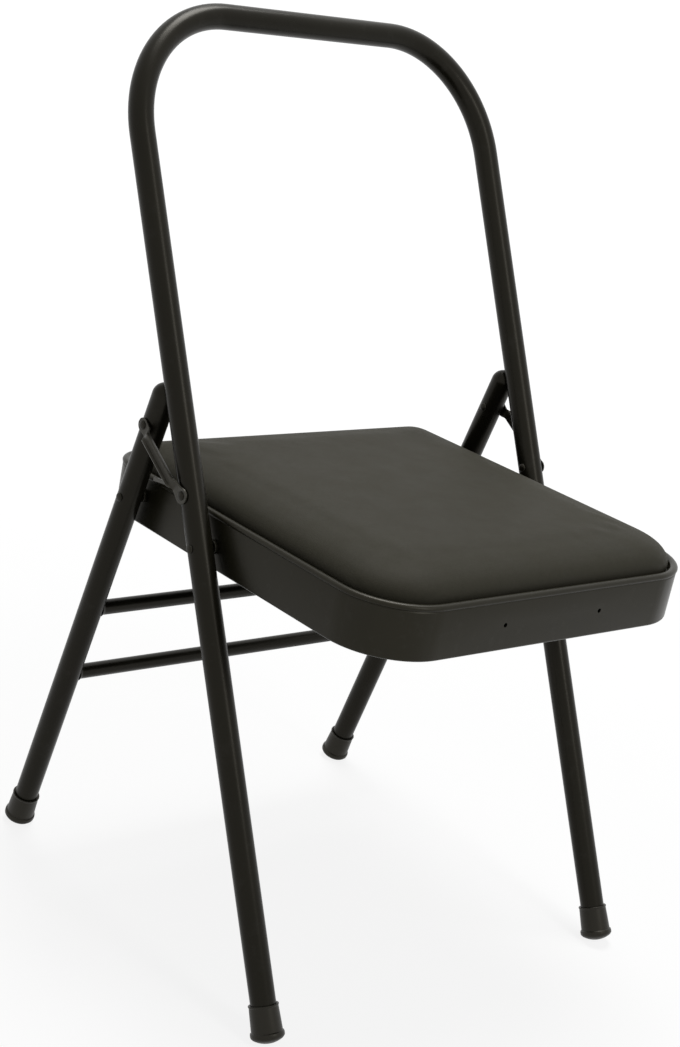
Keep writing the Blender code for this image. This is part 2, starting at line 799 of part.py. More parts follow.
def rivet_profile(head_plane, tail_plane, tail=True):
    """Rivet from its domed head down its shank to its domed tail, or to a plain end."""
    outline = []
    for step in range(4):
        angle = pi / 2.0 * step / 3.0
        radius = RIVET_HEAD_RADIUS * sin(angle)
        outline.append((radius, head_plane + RIVET_HEAD_HEIGHT * cos(angle)))
    outline.append((RIVET_RADIUS, head_plane))
    outline.append((RIVET_RADIUS, tail_plane))
    if tail:
        for step in range(3, 0, -1):
            angle = pi / 2.0 * step / 3.0
            radius = RIVET_HEAD_RADIUS * sin(angle)
            outline.append((radius, tail_plane - RIVET_HEAD_HEIGHT * cos(angle)))
        outline.append((0.0, tail_plane - RIVET_HEAD_HEIGHT))
    else:
        outline.append((0.0, tail_plane))
    return outline


def ring_profile(radius, outer, inner):
    """Flat ring round a rivet between two planes."""
    return [(radius, outer), (radius, inner), (hole_radius, inner), (hole_radius, outer)]


tail_plug = TUBE_WALL * 3.0
turned_pieces = (
    ("rivet_seat_front", rivet_profile(tube_outer + FIT, pan_inside - FIT), pivot_a, frame_body),
    ("rivet_seat_rear", rivet_profile(tube_outer + FIT, pan_inside - FIT), pivot_b, seat_body),
    (
        "rivet_link_front",
        rivet_profile(link_outer + FIT, tube_inner - FIT),
        pivot_d,
        frame_body,
    ),
    (
        "rivet_link_rear",
        rivet_profile(link_outer + FIT, tube_outer + FIT, tail=False),
        pivot_c,
        link_body,
    ),
    (
        "spacer_seat_front",
        ring_profile(SPACER_RADIUS, tube_inner - FIT, pan_half_width + FIT),
        pivot_a,
        frame_body,
    ),
    (
        "spacer_seat_rear",
        ring_profile(SPACER_RADIUS, tube_inner - FIT, pan_half_width + FIT),
        pivot_b,
        seat_body,
    ),
)
for base_name, outline, pivot, body in turned_pieces:
    for side, side_name in ((-1.0, "left"), (1.0, "right")):
        piece_name = base_name + "_" + side_name
        new_piece(
            piece_name,
            turned_mesh(piece_name, outline, SMALL_STEPS),
            pivot,
            side_turn(side),
            body,
            COATED_RIVET,
        )


def tail_profile():
    """Set tail of the link's rear rivet, inside the frame, with its stub in the leg's wall."""
    face = tube_inner - FIT
    outline = [(0.0, face + tail_plug), (RIVET_RADIUS, face + tail_plug), (RIVET_RADIUS, face)]
    for step in range(3, 0, -1):
        angle = pi / 2.0 * step / 3.0
        radius = RIVET_HEAD_RADIUS * sin(angle)
        outline.append((radius, face - RIVET_HEAD_HEIGHT * cos(angle)))
    outline.append((0.0, face - RIVET_HEAD_HEIGHT))
    return outline


for side, side_name in ((-1.0, "left"), (1.0, "right")):
    tail_name = "rivet_tail_link_rear_" + side_name
    new_piece(
        tail_name,
        turned_mesh(tail_name, tail_profile(), SMALL_STEPS),
        pivot_c,
        side_turn(side),
        leg_body,
        COATED_RIVET,
    )


def smooth_step(value, start, end):
    """0 before the start, 1 after the end, with an even blend between."""
    share = min(max((value - start) / (end - start), 0.0), 1.0)
    return share * share * (3.0 - 2.0 * share)


link_run = pivot_c - pivot_d
link_length = link_run.length
link_along = link_run.normalized()
link_across = Vector((0.0, link_along.z, -link_along.y))


def link_stations():
    """Places along the link: the front eye and its arm, the strap, the rear eye."""
    eye_angles = (18.0, 42.0, 66.0, 90.0)
    stations = [-LINK_FRONT_EYE_RADIUS * cos(radians(angle)) for angle in eye_angles]
    strap_start = LINK_FRONT_FLAT + LINK_BLEND
    strap_end = link_length - LINK_REAR_FLAT - LINK_BLEND
    stations += [LINK_FRONT_FLAT * share for share in (0.3, 0.55, 0.8, 1.0)]
    stations += [LINK_FRONT_FLAT + LINK_BLEND * share for share in (0.33, 0.66, 1.0)]
    stations += [strap_start + (strap_end - strap_start) * share for share in (0.33, 0.66, 1.0)]
    stations += [strap_end + LINK_BLEND * share for share in (0.33, 0.66, 1.0)]
    rear_flat = link_length - LINK_REAR_FLAT
    stations += [rear_flat + LINK_REAR_FLAT * share for share in (0.3, 0.6)]
    stations += [
        link_length + LINK_REAR_EYE_RADIUS * cos(radians(angle)) for angle in reversed(eye_angles)
    ]
    return stations


def link_half_width(along):
    """Half of the link's width: round eyes at both ends, an even strap between."""
    if along <= 0.0:
        return sqrt(LINK_FRONT_EYE_RADIUS ** 2 - along ** 2)
    if along >= link_length:
        return sqrt(LINK_REAR_EYE_RADIUS ** 2 - (along - link_length) ** 2)
    front = 1.0 - smooth_step(along, 0.0, LINK_FRONT_FLAT)
    rear = smooth_step(along, link_length - LINK_REAR_FLAT, link_length)
    extra_front = LINK_FRONT_EYE_RADIUS - LINK_HALF_WIDTH
    extra_rear = LINK_REAR_EYE_RADIUS - LINK_HALF_WIDTH
    return LINK_HALF_WIDTH + extra_front * front + extra_rear * rear


def link_point(along, column):
    """Point of the link's inner face: (along, across, outwards) for one of seven columns."""
    raised = smooth_step(along, LINK_FRONT_FLAT, LINK_FRONT_FLAT + LINK_BLEND)
    rear_flat = link_length - LINK_REAR_FLAT
    raised -= smooth_step(along, rear_flat - LINK_BLEND, rear_flat)
    half = link_half_width(along)
    web_half = half - min(LINK_FLANGE_DRAFT, half * 0.25)
    across = (-half, -web_half, -web_half * 0.5, 0.0, web_half * 0.5, web_half, half)[column]
    outwards = LINK_JOGGLE * raised
    if column in (0, 6):
        outwards += LINK_FLANGE * raised
    if column == 0 and along < LINK_FRONT_FLAT + LINK_BLEND:
        arm = smooth_step(along, 0.0, LINK_FRONT_FLAT * 0.5)
        outwards = max(outwards, LINK_ARM_RIM * arm)
    return along, across, outwards


def link_place(side, along, across, outwards):
    """Point at a distance along, across and out from the link's inner face at its front pivot."""
    place = link_along * along + link_across * across
    place.x = side * (link_inner + outwards)
    return place


def hook_solid(name, side):
    """Slanting tab that grows out of the lower flange, just under its rim."""
    curve = bpy.data.curves.new(name, "CURVE")
    curve.dimensions = "2D"
    curve.fill_mode = "BOTH"
    curve.extrude = LINK_THICKNESS / 2.0
    spline = curve.splines.new("POLY")
    spline.points.add(len(HOOK_OUTLINE) - 1)
    for point, (along, across) in zip(spline.points, HOOK_OUTLINE):
        point.co = (along, across, 0.0, 1.0)
    spline.use_cyclic_u = True
    mesh = evaluated_mesh(scratch_object(name, curve))
    turn = Matrix((link_along, link_across, link_along.cross(link_across))).transposed()
    mesh.transform(turn.to_4x4())
    middle = link_inner + LINK_JOGGLE + LINK_FLANGE - HOOK_BELOW_RIM - LINK_THICKNESS / 2.0
    return new_cutter(name, mesh, pivot_d + Vector((side * middle, 0.0, 0.0)))


def link_mesh(name, side):
    """Strip of seven columns shaped along the link and given its thickness outwards."""
    stations = link_stations()
    bm = bmesh.new()
    bmesh.ops.create_grid(bm, x_segments=len(stations) - 1, y_segments=6, size=0.5)
    for vert in bm.verts:
        station = round((vert.co.x + 0.5) * (len(stations) - 1))
        column = round((vert.co.y + 0.5) * 6)
        along, across, outwards = link_point(stations[station], column)
        vert.co = link_place(side, along, across, outwards)
    bmesh.ops.recalc_face_normals(bm, faces=bm.faces)
    first = next(iter(bm.faces))
    if first.normal.x * side > 0.0:
        bmesh.ops.reverse_faces(bm, faces=bm.faces)
    mesh = bpy.data.meshes.new(name)
    bm.to_mesh(mesh)
    bm.free()
    return thickened(name, mesh, LINK_THICKNESS)


link_hole_length = 4.0 * LINK_THICKNESS
for side, side_name in ((-1.0, "left"), (1.0, "right")):
    link_name = "fold_link_" + side_name
    link = new_piece(
        link_name, link_mesh(link_name, side), pivot_d, (0.0, 0.0, 0.0), link_body, COATED_STEEL
    )
    join(link, hook_solid("hook_" + side_name, side))
    for end_name, pivot in (("front", pivot_d), ("rear", pivot_c)):
        link_hole = cylinder_cutter(
            "cut_link_" + end_name + "_" + side_name,
            hole_radius,
            link_hole_length,
            pivot + Vector((side * (link_inner + link_outer) / 2.0, 0.0, 0.0)),
            ACROSS,
        )
        cut(link, link_hole)

for piece in chair.objects:
    if piece.type == "EMPTY":
        del piece["pivot"]
bpy.context.view_layer.update()
print("pivots and floor points (m), Y and Z:")
for label, point in (
    ("seat", pivot_a),
    ("leg", pivot_b),
    ("link rear", pivot_c),
    ("link front", pivot_d),
    ("front foot", front_floor),
    ("rear foot", rear_floor),
):
    print("  %-10s %.6f %.6f" % (label, point.y, point.z))
print("pieces:", sum(1 for piece in chair.objects if piece.type == "MESH"))
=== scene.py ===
# %% [markdown]
# # A folding yoga chair
#
# The chair is a bent steel tube, two straight rear legs, a pressed seat pan and a padded board.
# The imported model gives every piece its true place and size. Here the pieces that show get a
# finer surface and a finish of their own, one step at a time.

# %% Load the measured model
import json
from math import asin, atan2, cos, degrees, pi, radians, sin, tan

import bmesh
import bpy
from mathutils import Matrix, Vector

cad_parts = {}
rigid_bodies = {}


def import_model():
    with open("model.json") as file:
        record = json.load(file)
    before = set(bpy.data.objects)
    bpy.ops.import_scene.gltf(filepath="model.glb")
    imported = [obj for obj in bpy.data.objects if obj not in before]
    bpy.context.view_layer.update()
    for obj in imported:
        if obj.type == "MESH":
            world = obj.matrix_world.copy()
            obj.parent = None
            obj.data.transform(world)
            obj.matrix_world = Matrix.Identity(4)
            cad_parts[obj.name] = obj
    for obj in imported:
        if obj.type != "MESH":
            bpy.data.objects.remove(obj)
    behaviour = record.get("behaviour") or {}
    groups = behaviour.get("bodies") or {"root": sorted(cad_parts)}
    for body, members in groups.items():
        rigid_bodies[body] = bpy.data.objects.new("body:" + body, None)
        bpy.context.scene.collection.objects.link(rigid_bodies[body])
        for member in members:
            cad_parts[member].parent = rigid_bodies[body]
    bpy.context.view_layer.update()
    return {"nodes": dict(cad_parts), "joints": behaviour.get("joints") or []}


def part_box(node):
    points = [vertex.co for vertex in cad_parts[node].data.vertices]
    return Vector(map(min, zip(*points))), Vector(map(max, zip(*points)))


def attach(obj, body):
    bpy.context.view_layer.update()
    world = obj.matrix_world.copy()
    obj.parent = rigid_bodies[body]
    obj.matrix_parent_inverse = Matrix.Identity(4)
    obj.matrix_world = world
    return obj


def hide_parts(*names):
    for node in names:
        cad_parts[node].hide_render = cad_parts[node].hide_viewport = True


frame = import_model()
nodes = frame["nodes"]

# %% [markdown]
# ## Where things are
#
# The chair is symmetric, so its places can be read from one side. The pivots come from the
# joints, and the slopes of the tubes follow from pairs of pivots on the same tube. Reading them
# keeps the fine pieces on the measured ones, where typed numbers could drift apart.

# %% Read pivots, slopes and radii from the model
joints = {joint["name"]: joint for joint in frame["joints"]}
seat_pivot = Vector(joints["seat_fold"]["pos_m"])
leg_pivot = Vector(joints["rear_leg_fold"]["pos_m"])
link_pivot = Vector(joints["link_fold"]["pos_m"])


def box_of(node):
    """Lowest and highest corner of a measured piece."""
    low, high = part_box(node)
    return Vector(low), Vector(high)


def middle_of(node):
    """Middle of a measured piece's box."""
    low, high = box_of(node)
    return (low + high) / 2


rear_eye = middle_of("rivet_link_rear_right")
leg_low, leg_high = box_of("rear_leg_right")
hoop_low, hoop_high = box_of("front_tube_hoop")
tube_radius = (leg_high.x - leg_low.x) / 2
frame_half = (leg_high.x + leg_low.x) / 2
front_lean = atan2(link_pivot.y - seat_pivot.y, link_pivot.z - seat_pivot.z)
rear_lean = atan2(leg_pivot.y - rear_eye.y, rear_eye.z - leg_pivot.z)
front_floor = seat_pivot.y - seat_pivot.z * tan(front_lean)
rear_floor = leg_pivot.y + leg_pivot.z * tan(rear_lean)
screw_run = middle_of("board_screw_rear_left") - middle_of("board_screw_front_left")
seat_slope = atan2(-screw_run.z, screw_run.y)
print("tube radius %.2f mm, frame half width %.1f mm" % (tube_radius * 1e3, frame_half * 1e3))
print("front tube leans back %.2f degrees" % degrees(front_lean))
print("rear legs lean forward %.2f degrees" % degrees(rear_lean))
print("seat slopes down to the rear by %.2f degrees" % degrees(seat_slope))

# %% [markdown]
# ## The camera
#
# The photograph was taken from the chair's left front, a little above the seat, with the camera
# turned slightly about its own axis. The place, lens and turn below were solved from the tubes'
# edges, so the drawing lines up with the photograph.

# %% Place the camera
PHOTO_WIDTH = 680
PHOTO_HEIGHT = 1047
camera_data = bpy.data.cameras.new("camera")
camera = bpy.data.objects.new("camera", camera_data)
bpy.context.scene.collection.objects.link(camera)
bpy.context.scene.camera = camera
view_turn = 0.71357
view_dip = 0.37756
view_roll = 0.18540
forward = Vector((sin(view_turn) * cos(view_dip), cos(view_turn) * cos(view_dip), -sin(view_dip)))
level = Vector((cos(view_turn), -sin(view_turn), 0.0))
upward = level.cross(forward)
right = level * cos(view_roll) + upward * sin(view_roll)
upright = upward * cos(view_roll) - level * sin(view_roll)
turned_to = Matrix((right, upright, -forward)).transposed().to_4x4()
camera.matrix_world = Matrix.Translation((-1.32415, -1.27902, 1.02774)) @ turned_to
focal_pixels = 1887.36
camera_data.sensor_width = 36.0
camera_data.lens = focal_pixels / PHOTO_HEIGHT * camera_data.sensor_width
camera_data.shift_x = (PHOTO_WIDTH / 2 - 196.68) / PHOTO_HEIGHT
camera_data.shift_y = (595.99 - PHOTO_HEIGHT / 2) / PHOTO_HEIGHT
camera_data.clip_end = 50.0
print("lens %.1f mm" % camera_data.lens)

# %% [markdown]
# ## Modelling helpers
#
# Most of the chair is turned or drawn metal. By hand such a piece starts as a circle that is
# extruded ring by ring, each ring moved up and scaled to its radius. The helpers below do the
# same with the edit-mode operators, so every piece can be followed step by step.


# %% Helpers for edit mode
def drop_selection():
    """Leave edit mode and deselect everything."""
    if bpy.context.mode != "OBJECT":
        bpy.ops.object.mode_set(mode="OBJECT")
    bpy.ops.object.select_all(action="DESELECT")


def edit(piece):
    """Select one piece alone and enter edit mode on it."""
    drop_selection()
    bpy.context.view_layer.objects.active = piece
    piece.select_set(True)
    bpy.ops.object.mode_set(mode="EDIT")


def pick(piece, test, kind="verts"):
    """In edit mode, select the vertices, edges or faces whose middle passes a test."""
    modes = {"verts": "VERT", "edges": "EDGE", "faces": "FACE"}
    bpy.ops.mesh.select_mode(type=modes[kind])
    bpy.ops.mesh.select_all(action="DESELECT")
    cage = bmesh.from_edit_mesh(piece.data)
    for part in getattr(cage, kind):
        if kind == "verts":
            place = part.co
        elif kind == "edges":
            place = (part.verts[0].co + part.verts[1].co) / 2
        else:
            place = part.calc_center_median()
        part.select_set(test(place))
    cage.select_flush_mode()
    bmesh.update_edit_mesh(piece.data)


def pick_rim(piece):
    """In edit mode, select the open edges."""
    bpy.ops.mesh.select_mode(type="EDGE")
    bpy.ops.mesh.select_all(action="DESELECT")
    cage = bmesh.from_edit_mesh(piece.data)
    for edge in cage.edges:
        edge.select_set(edge.is_boundary)
    bmesh.update_edit_mesh(piece.data)


def extrude(move):
    """Extrude what is selected by a move."""
    bpy.ops.mesh.extrude_region_move(TRANSFORM_OT_translate={"value": tuple(move)})


def scale_about(centre, x, y, z=1.0):
    """Scale what is selected about a point."""
    bpy.ops.transform.resize(value=(x, y, z), center_override=tuple(centre))


def apply_modifier(piece, kind, **settings):
    """Add a modifier with its settings and apply it."""
    drop_selection()
    bpy.context.view_layer.objects.active = piece
    piece.select_set(True)
    modifier = piece.modifiers.new(kind.title(), kind)
    for name, value in settings.items():
        setattr(modifier, name, value)
    bpy.ops.object.modifier_apply(modifier=modifier.name)


def settle(piece, smooth=35.0):
    """Put a piece's place into its mesh and shade it smooth up to an angle."""
    drop_selection()
    bpy.context.view_layer.objects.active = piece
    piece.select_set(True)
    bpy.ops.object.transform_apply(location=True, rotation=True, scale=True)
    bpy.ops.object.shade_smooth_by_angle(angle=radians(smooth))
    return piece


def face_outwards(piece):
    """Merge doubles and turn every face outwards."""
    edit(piece)
    bpy.ops.mesh.select_all(action="SELECT")
    bpy.ops.mesh.remove_doubles(threshold=0.000005)
    bpy.ops.mesh.normals_make_consistent(inside=False)
    bpy.ops.object.mode_set(mode="OBJECT")


def deal(pieces, body):
    """Attach pieces of (object, measured node) to their body and hide each measured node."""
    for piece, node in pieces:
        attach(piece, body)
        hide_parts(node)


def turned(name, profile, sides=48):
    """Turned solid about Z from a profile of (radius, height), capped at both ends."""
    drop_selection()
    radius, height = profile[0]
    bpy.ops.mesh.primitive_circle_add(vertices=sides, radius=radius, location=(0, 0, 0))
    piece = bpy.context.object
    piece.name = name
    edit(piece)
    bpy.ops.mesh.select_all(action="SELECT")
    bpy.ops.transform.translate(value=(0, 0, height))
    for next_radius, next_height in profile[1:]:
        extrude((0, 0, next_height - height))
        ratio = next_radius / radius
        scale_about((0, 0, next_height), ratio, ratio)
        radius, height = next_radius, next_height
    bpy.ops.mesh.select_all(action="SELECT")
    bpy.ops.mesh.fill_holes(sides=0)
    face_outwards(piece)
    return piece


def copy_of(piece, name, move=(0, 0, 0), flip=False):
    """Copy of a settled piece with its own mesh, moved or mirrored across the chair."""
    twin = piece.copy()
    twin.data = piece.data.copy()
    twin.name = name
    twin.data.name = name
    bpy.context.scene.collection.objects.link(twin)
    if flip:
        twin.data.transform(Matrix.Scale(-1.0, 4, (1, 0, 0)))
        twin.data.flip_normals()
    twin.data.transform(Matrix.Translation(move))
    return twin


def punch(piece, place, radius, length, turn, sides=32):
    """Take a round hole out of a piece."""
    drop_selection()
    bpy.ops.mesh.primitive_cylinder_add(
        vertices=sides, radius=radius, depth=length, location=place, rotation=turn
    )
    tool = bpy.context.object
    apply_modifier(piece, "BOOLEAN", operation="DIFFERENCE", solver="EXACT", object=tool)
    bpy.data.objects.remove(tool, do_unlink=True)


def dome(radius, height, base, steps=6):
    """Profile of a dome from near its tip down to its rim, with its base at a height."""
    points = []
    for step in range(steps + 1):
        angle = pi / 2 * max(step / steps, 0.04)
        points.append((radius * sin(angle), base + height * cos(angle)))
    return points


# %% [markdown]
# ## The bent front tube
#
# One steel tube makes both front legs and the hoop. It is drawn like the real bending job: a
# ring is pulled up the left side, spun a quarter turn, pulled across, spun again and pulled
# down. Spinning gives true arcs with even rings, where a scaled curve would pinch.

# %% Draw the front tube
hoop_length = (hoop_high.z - tube_radius) / cos(front_lean)
BEND_RADIUS = 0.1225
start_up = 0.016
side_corner = frame_half - BEND_RADIUS
top_corner = hoop_length - BEND_RADIUS
drop_selection()
bpy.ops.mesh.primitive_circle_add(
    vertices=48, radius=tube_radius, location=(-frame_half, 0, start_up), fill_type="NOTHING"
)
front_tube = bpy.context.object
front_tube.name = "front_tube"
settle(front_tube)
edit(front_tube)
bpy.ops.mesh.select_all(action="SELECT")
extrude((0, 0, top_corner - start_up))
bpy.ops.mesh.spin(steps=28, angle=-pi / 2, center=(-side_corner, 0, top_corner), axis=(0, 1, 0))
pick(front_tube, lambda p: p.x > -side_corner - 1e-5)
extrude((2 * side_corner, 0, 0))
bpy.ops.mesh.spin(steps=28, angle=-pi / 2, center=(side_corner, 0, top_corner), axis=(0, 1, 0))
pick(front_tube, lambda p: p.x > side_corner and abs(p.z - top_corner) < 1e-5)
extrude((0, 0, start_up - top_corner))
bpy.ops.object.mode_set(mode="OBJECT")
face_outwards(front_tube)
front_tube.location = (0, front_floor, 0)
front_tube.rotation_euler = (-front_lean, 0, 0)
settle(front_tube)
deal([(front_tube, "front_tube_hoop")], "front_frame")
print("front tube:", len(front_tube.data.vertices), "points")

# %% [markdown]
# ## Rear legs and crossbars
#
# Each rear leg is a straight tube whose top end is closed into a dome. The dome stops against the
# front tube and is dished to sit there. The two crossbars tie the legs together. The weld where
# a bar meets a leg is a small fillet of metal, made as a short collar that swells towards the
# leg.

# %% Turn the rear legs
STOP_GAP = 0.0005
stop_reach = (rear_floor - front_floor) * cos(front_lean) - 2 * tube_radius - STOP_GAP
dome_up = stop_reach / sin(front_lean + rear_lean) + 0.0055
leg_profile = dome(tube_radius, tube_radius, dome_up, 14) + [(tube_radius, 0.014)]
leg = turned("rear_leg_right", leg_profile)
leg.name = "leg_right"
leg.location = (frame_half, rear_floor, 0)
leg.rotation_euler = (rear_lean, 0, 0)
settle(leg)
halfway = Vector((frame_half, front_floor + 0.5 * sin(front_lean), 0.5 * cos(front_lean)))
punch(leg, halfway, tube_radius + STOP_GAP, 1.0, (-front_lean, 0, 0), 96)
settle(leg)
leg_left = copy_of(leg, "leg_left", (-2 * frame_half, 0, 0))
deal(((leg, "rear_leg_right"), (leg_left, "rear_leg_left")), "rear_legs")
print("rear leg dome at %.1f mm up the leg" % (dome_up * 1e3))

# %% Draw the crossbars with their weld collars
for node in ("rear_crossbar_upper", "rear_crossbar_lower"):
    bar_low, bar_high = box_of(node)
    bar_radius = (bar_high.z - bar_low.z) / 2 / cos(radians(1.2))
    reach = frame_half - tube_radius * 0.8
    weld = 0.0016
    half_bar = [
        (bar_radius + weld, -reach),
        (bar_radius + weld * 0.8, -reach + 0.0010),
        (bar_radius + weld * 0.35, -reach + 0.0022),
        (bar_radius + weld * 0.1, -reach + 0.0034),
        (bar_radius, -reach + 0.0050),
    ]
    whole_bar = half_bar + [(radius, -height) for radius, height in reversed(half_bar)]
    bar = turned(node.replace("rear_", ""), whole_bar, 40)
    bar.rotation_euler = (0, pi / 2, 0)
    bar.location = middle_of(node)
    settle(bar)
    deal([(bar, node)], "rear_legs")
    print(bar.name, "radius %.2f mm" % (bar_radius * 1e3))

# %% [markdown]
# ## Rubber feet
#
# The feet are moulded caps pushed over the tube ends. They have a thin lip at the mouth, a
# slight taper, a bead where the cap turns into its sole, and a rounded sole worn flat where it
# stands. A turned shape cut by the floor plane gives all of that.

# %% Turn one foot and cut it flat on the floor
FOOT_HEIGHT = 0.037
SOLE_SPHERE = 0.026
bead_radius = (box_of("rubber_foot_rear_right")[1].x - box_of("rubber_foot_rear_right")[0].x) / 2
waist = bead_radius - 0.0024
edge_angle = asin(bead_radius / SOLE_SPHERE)
edge_up = SOLE_SPHERE * (1 - cos(edge_angle))
foot_profile = [
    (tube_radius - 0.0004, FOOT_HEIGHT - 0.0012),
    (tube_radius + 0.0002, FOOT_HEIGHT - 0.0002),
    (waist + 0.0001, FOOT_HEIGHT),
    (waist + 0.0005, FOOT_HEIGHT - 0.0003),
    (waist + 0.0006, FOOT_HEIGHT - 0.0009),
    (waist + 0.0004, FOOT_HEIGHT - 0.0017),
    (waist, FOOT_HEIGHT - 0.0023),
    (waist + 0.0004, FOOT_HEIGHT - 0.0100),
    (bead_radius - 0.0014, edge_up + 0.0066),
    (bead_radius - 0.0014, edge_up + 0.0056),
    (bead_radius - 0.0003, edge_up + 0.0048),
    (bead_radius, edge_up + 0.0034),
    (bead_radius, edge_up + 0.0018),
    (bead_radius - 0.0002, edge_up + 0.0006),
]
for step in range(1, 9):
    angle = edge_angle * (1 - step / 8.3)
    foot_profile.append((SOLE_SPHERE * sin(angle), SOLE_SPHERE * (1 - cos(angle))))


def foot_on_floor(name, side, floor_y, lean):
    """Foot along a leaning tube, cut off at the floor."""
    piece = turned(name, foot_profile, 56)
    tip = (SOLE_SPHERE - 0.0006) / cos(lean) - SOLE_SPHERE
    piece.location = (side * frame_half, floor_y + tip * sin(lean), tip * cos(lean))
    piece.rotation_euler = (-lean, 0, 0)
    settle(piece)
    edit(piece)
    bpy.ops.mesh.select_all(action="SELECT")
    bpy.ops.mesh.bisect(
        plane_co=(0, 0, 0), plane_no=(0, 0, 1), use_fill=True, clear_inner=True
    )
    bpy.ops.object.mode_set(mode="OBJECT")
    return settle(piece, 40.0)


for end, floor_y, lean, body in (
    ("front", front_floor, front_lean, "front_frame"),
    ("rear", rear_floor, -rear_lean, "rear_legs"),
):
    for side, side_name in ((-1, "left"), (1, "right")):
        foot = foot_on_floor("foot_%s_%s" % (end, side_name), side, floor_y, lean)
        deal([(foot, "rubber_foot_%s_%s" % (end, side_name))], body)
        lowest = min(vert.co.z for vert in foot.data.vertices)
        print(foot.name, "lowest point %.2f mm" % (lowest * 1e3))

# %% [markdown]
# ## The seat pan
#
# The pan is one sheet, drawn over a die. Its rim stands up as a rolled bead, a crease runs below
# the bead, the wall goes straight down and its lower edge curls inwards, so that no raw edge can
# cut a hand. It is made like a pressing: a rounded plate is stepped inwards for the bead and the
# deck, and its outline is pulled down for the wall and the curl. The seat slopes a little, so its
# pieces are made level, as on the bench, and are turned about the seat's pivot at the end.

# %% Read the pan's outline
pan_low, pan_high = box_of("seat_pan")
BULGE = 0.0006
SHEET = 0.0012
FRONT_CORNER = 0.070
REAR_CORNER = 0.040
pan_half = pan_high.x - BULGE
pan_front = seat_pivot.y - 0.2405
pan_rear = pan_front + 0.4284
pan_top = seat_pivot.z + 0.0317
pan_bottom = pan_top - 0.0541
deck_height = pan_top - 0.0082
pan_middle = (pan_front + pan_rear) / 2
pan_size = (2 * pan_half, pan_rear - pan_front, pan_top - pan_bottom)
print("pan %.1f x %.1f x %.1f mm" % tuple(1e3 * side for side in pan_size))


def rounded_plate(name, inset, height, steps=26):
    """Flat plate with the seat's outline, drawn in by an inset, with all of it selected."""
    drop_selection()
    bpy.ops.mesh.primitive_plane_add(size=1.0, location=(0, 0, 0))
    piece = bpy.context.object
    piece.name = name
    piece.scale = (2 * (pan_half - inset), pan_rear - pan_front - 2 * inset, 1)
    piece.location = (0, pan_middle, height)
    settle(piece)
    edit(piece)
    for test, corner in (
        (lambda p: p.y < pan_middle, FRONT_CORNER - inset),
        (lambda p: p.y > pan_middle and abs(p.x) > pan_half - inset - 1e-5, REAR_CORNER - inset),
    ):
        pick(piece, test)
        bpy.ops.mesh.bevel(offset=corner, segments=steps, affect="VERTICES", profile=0.5)
    bpy.ops.mesh.select_mode(type="FACE")
    bpy.ops.mesh.select_all(action="SELECT")
    return piece


def step_to(state, inset, height):
    """Step the selected cap from one (inset, height) to the next."""
    rise = height - state[1]
    if inset - state[0] > 1e-6:
        bpy.ops.mesh.inset(thickness=inset - state[0], depth=0.0)
        bpy.ops.transform.translate(value=(0, 0, rise))
    else:
        extrude((0, 0, rise))
    return inset, height


def draw_in(state, inset, height):
    """Extrude the selected cap and draw it towards the seat's middle."""
    share = 1 - (inset - state[0]) / (pan_half - state[0])
    extrude((0, 0, height - state[1]))
    scale_about((0, pan_middle, height), share, share)
    return inset, height


def slope_seat(piece, smooth):
    """Turn a level piece about the seat's pivot to the seat's slope and settle it."""
    turn = Matrix.Rotation(-seat_slope, 3, "X")
    piece.rotation_euler = (-seat_slope, 0, 0)
    piece.location = seat_pivot - turn @ seat_pivot
    return settle(piece, smooth)


def pull_rim(piece, state, inset, height):
    """Pull the open rim from one (inset, height) to the next."""
    pick_rim(piece)
    extrude((0, 0, height - state[1]))
    half_y = (pan_rear - pan_front) / 2
    wide = (pan_half - inset) / (pan_half - state[0])
    deep = (half_y - inset) / (half_y - state[0])
    scale_about((0, pan_middle, height), wide, deep)
    return inset, height


# %% Press the pan's bead and deck
BEAD_WIDTH = 0.008
BEAD_HEIGHT = 0.0056
bead_half = (BEAD_WIDTH + BULGE) / 2
bead_rise = BEAD_HEIGHT * 0.6
widest = pan_top - bead_rise
pan = rounded_plate("pan", -BULGE, widest)
state = (-BULGE, widest)
for step in range(1, 13):
    angle = pi - pi * step / 12
    inset = bead_half - BULGE + bead_half * cos(angle)
    state = step_to(state, inset, widest + bead_rise * sin(angle))
state = step_to(state, BEAD_WIDTH + 0.0002, deck_height + SHEET)
state = step_to(state, BEAD_WIDTH + 0.0006, deck_height + SHEET * 0.3)
state = step_to(state, BEAD_WIDTH + SHEET, deck_height)

# %% Pull down the crease, the wall and the curled hem
CURL = 0.0026
crease_height = pan_top - BEAD_HEIGHT
state = (-BULGE, widest)
for inset, height in (
    (-BULGE * 0.75, widest - 0.0009),
    (-BULGE * 0.1, widest - 0.0016),
    (0.0006, crease_height),
    (0.0004, crease_height - 0.0005),
    (0.0, crease_height - 0.0012),
    (0.0, pan_bottom + CURL),
):
    state = pull_rim(pan, state, inset, height)
for step in range(1, 8):
    angle = pi / 2 * step / 7
    height = pan_bottom + CURL * (1 - sin(angle))
    state = pull_rim(pan, state, CURL * (1 - cos(angle)), height)
state = pull_rim(pan, state, 2 * CURL, pan_bottom)
face_outwards(pan)
deck_face = max(pan.data.polygons, key=lambda face: face.area)
print("deck normal points up:", deck_face.normal.z > 0)
if deck_face.normal.z < 0:
    pan.data.flip_normals()
apply_modifier(pan, "SOLIDIFY", thickness=SHEET, offset=-1.0, use_even_offset=True)

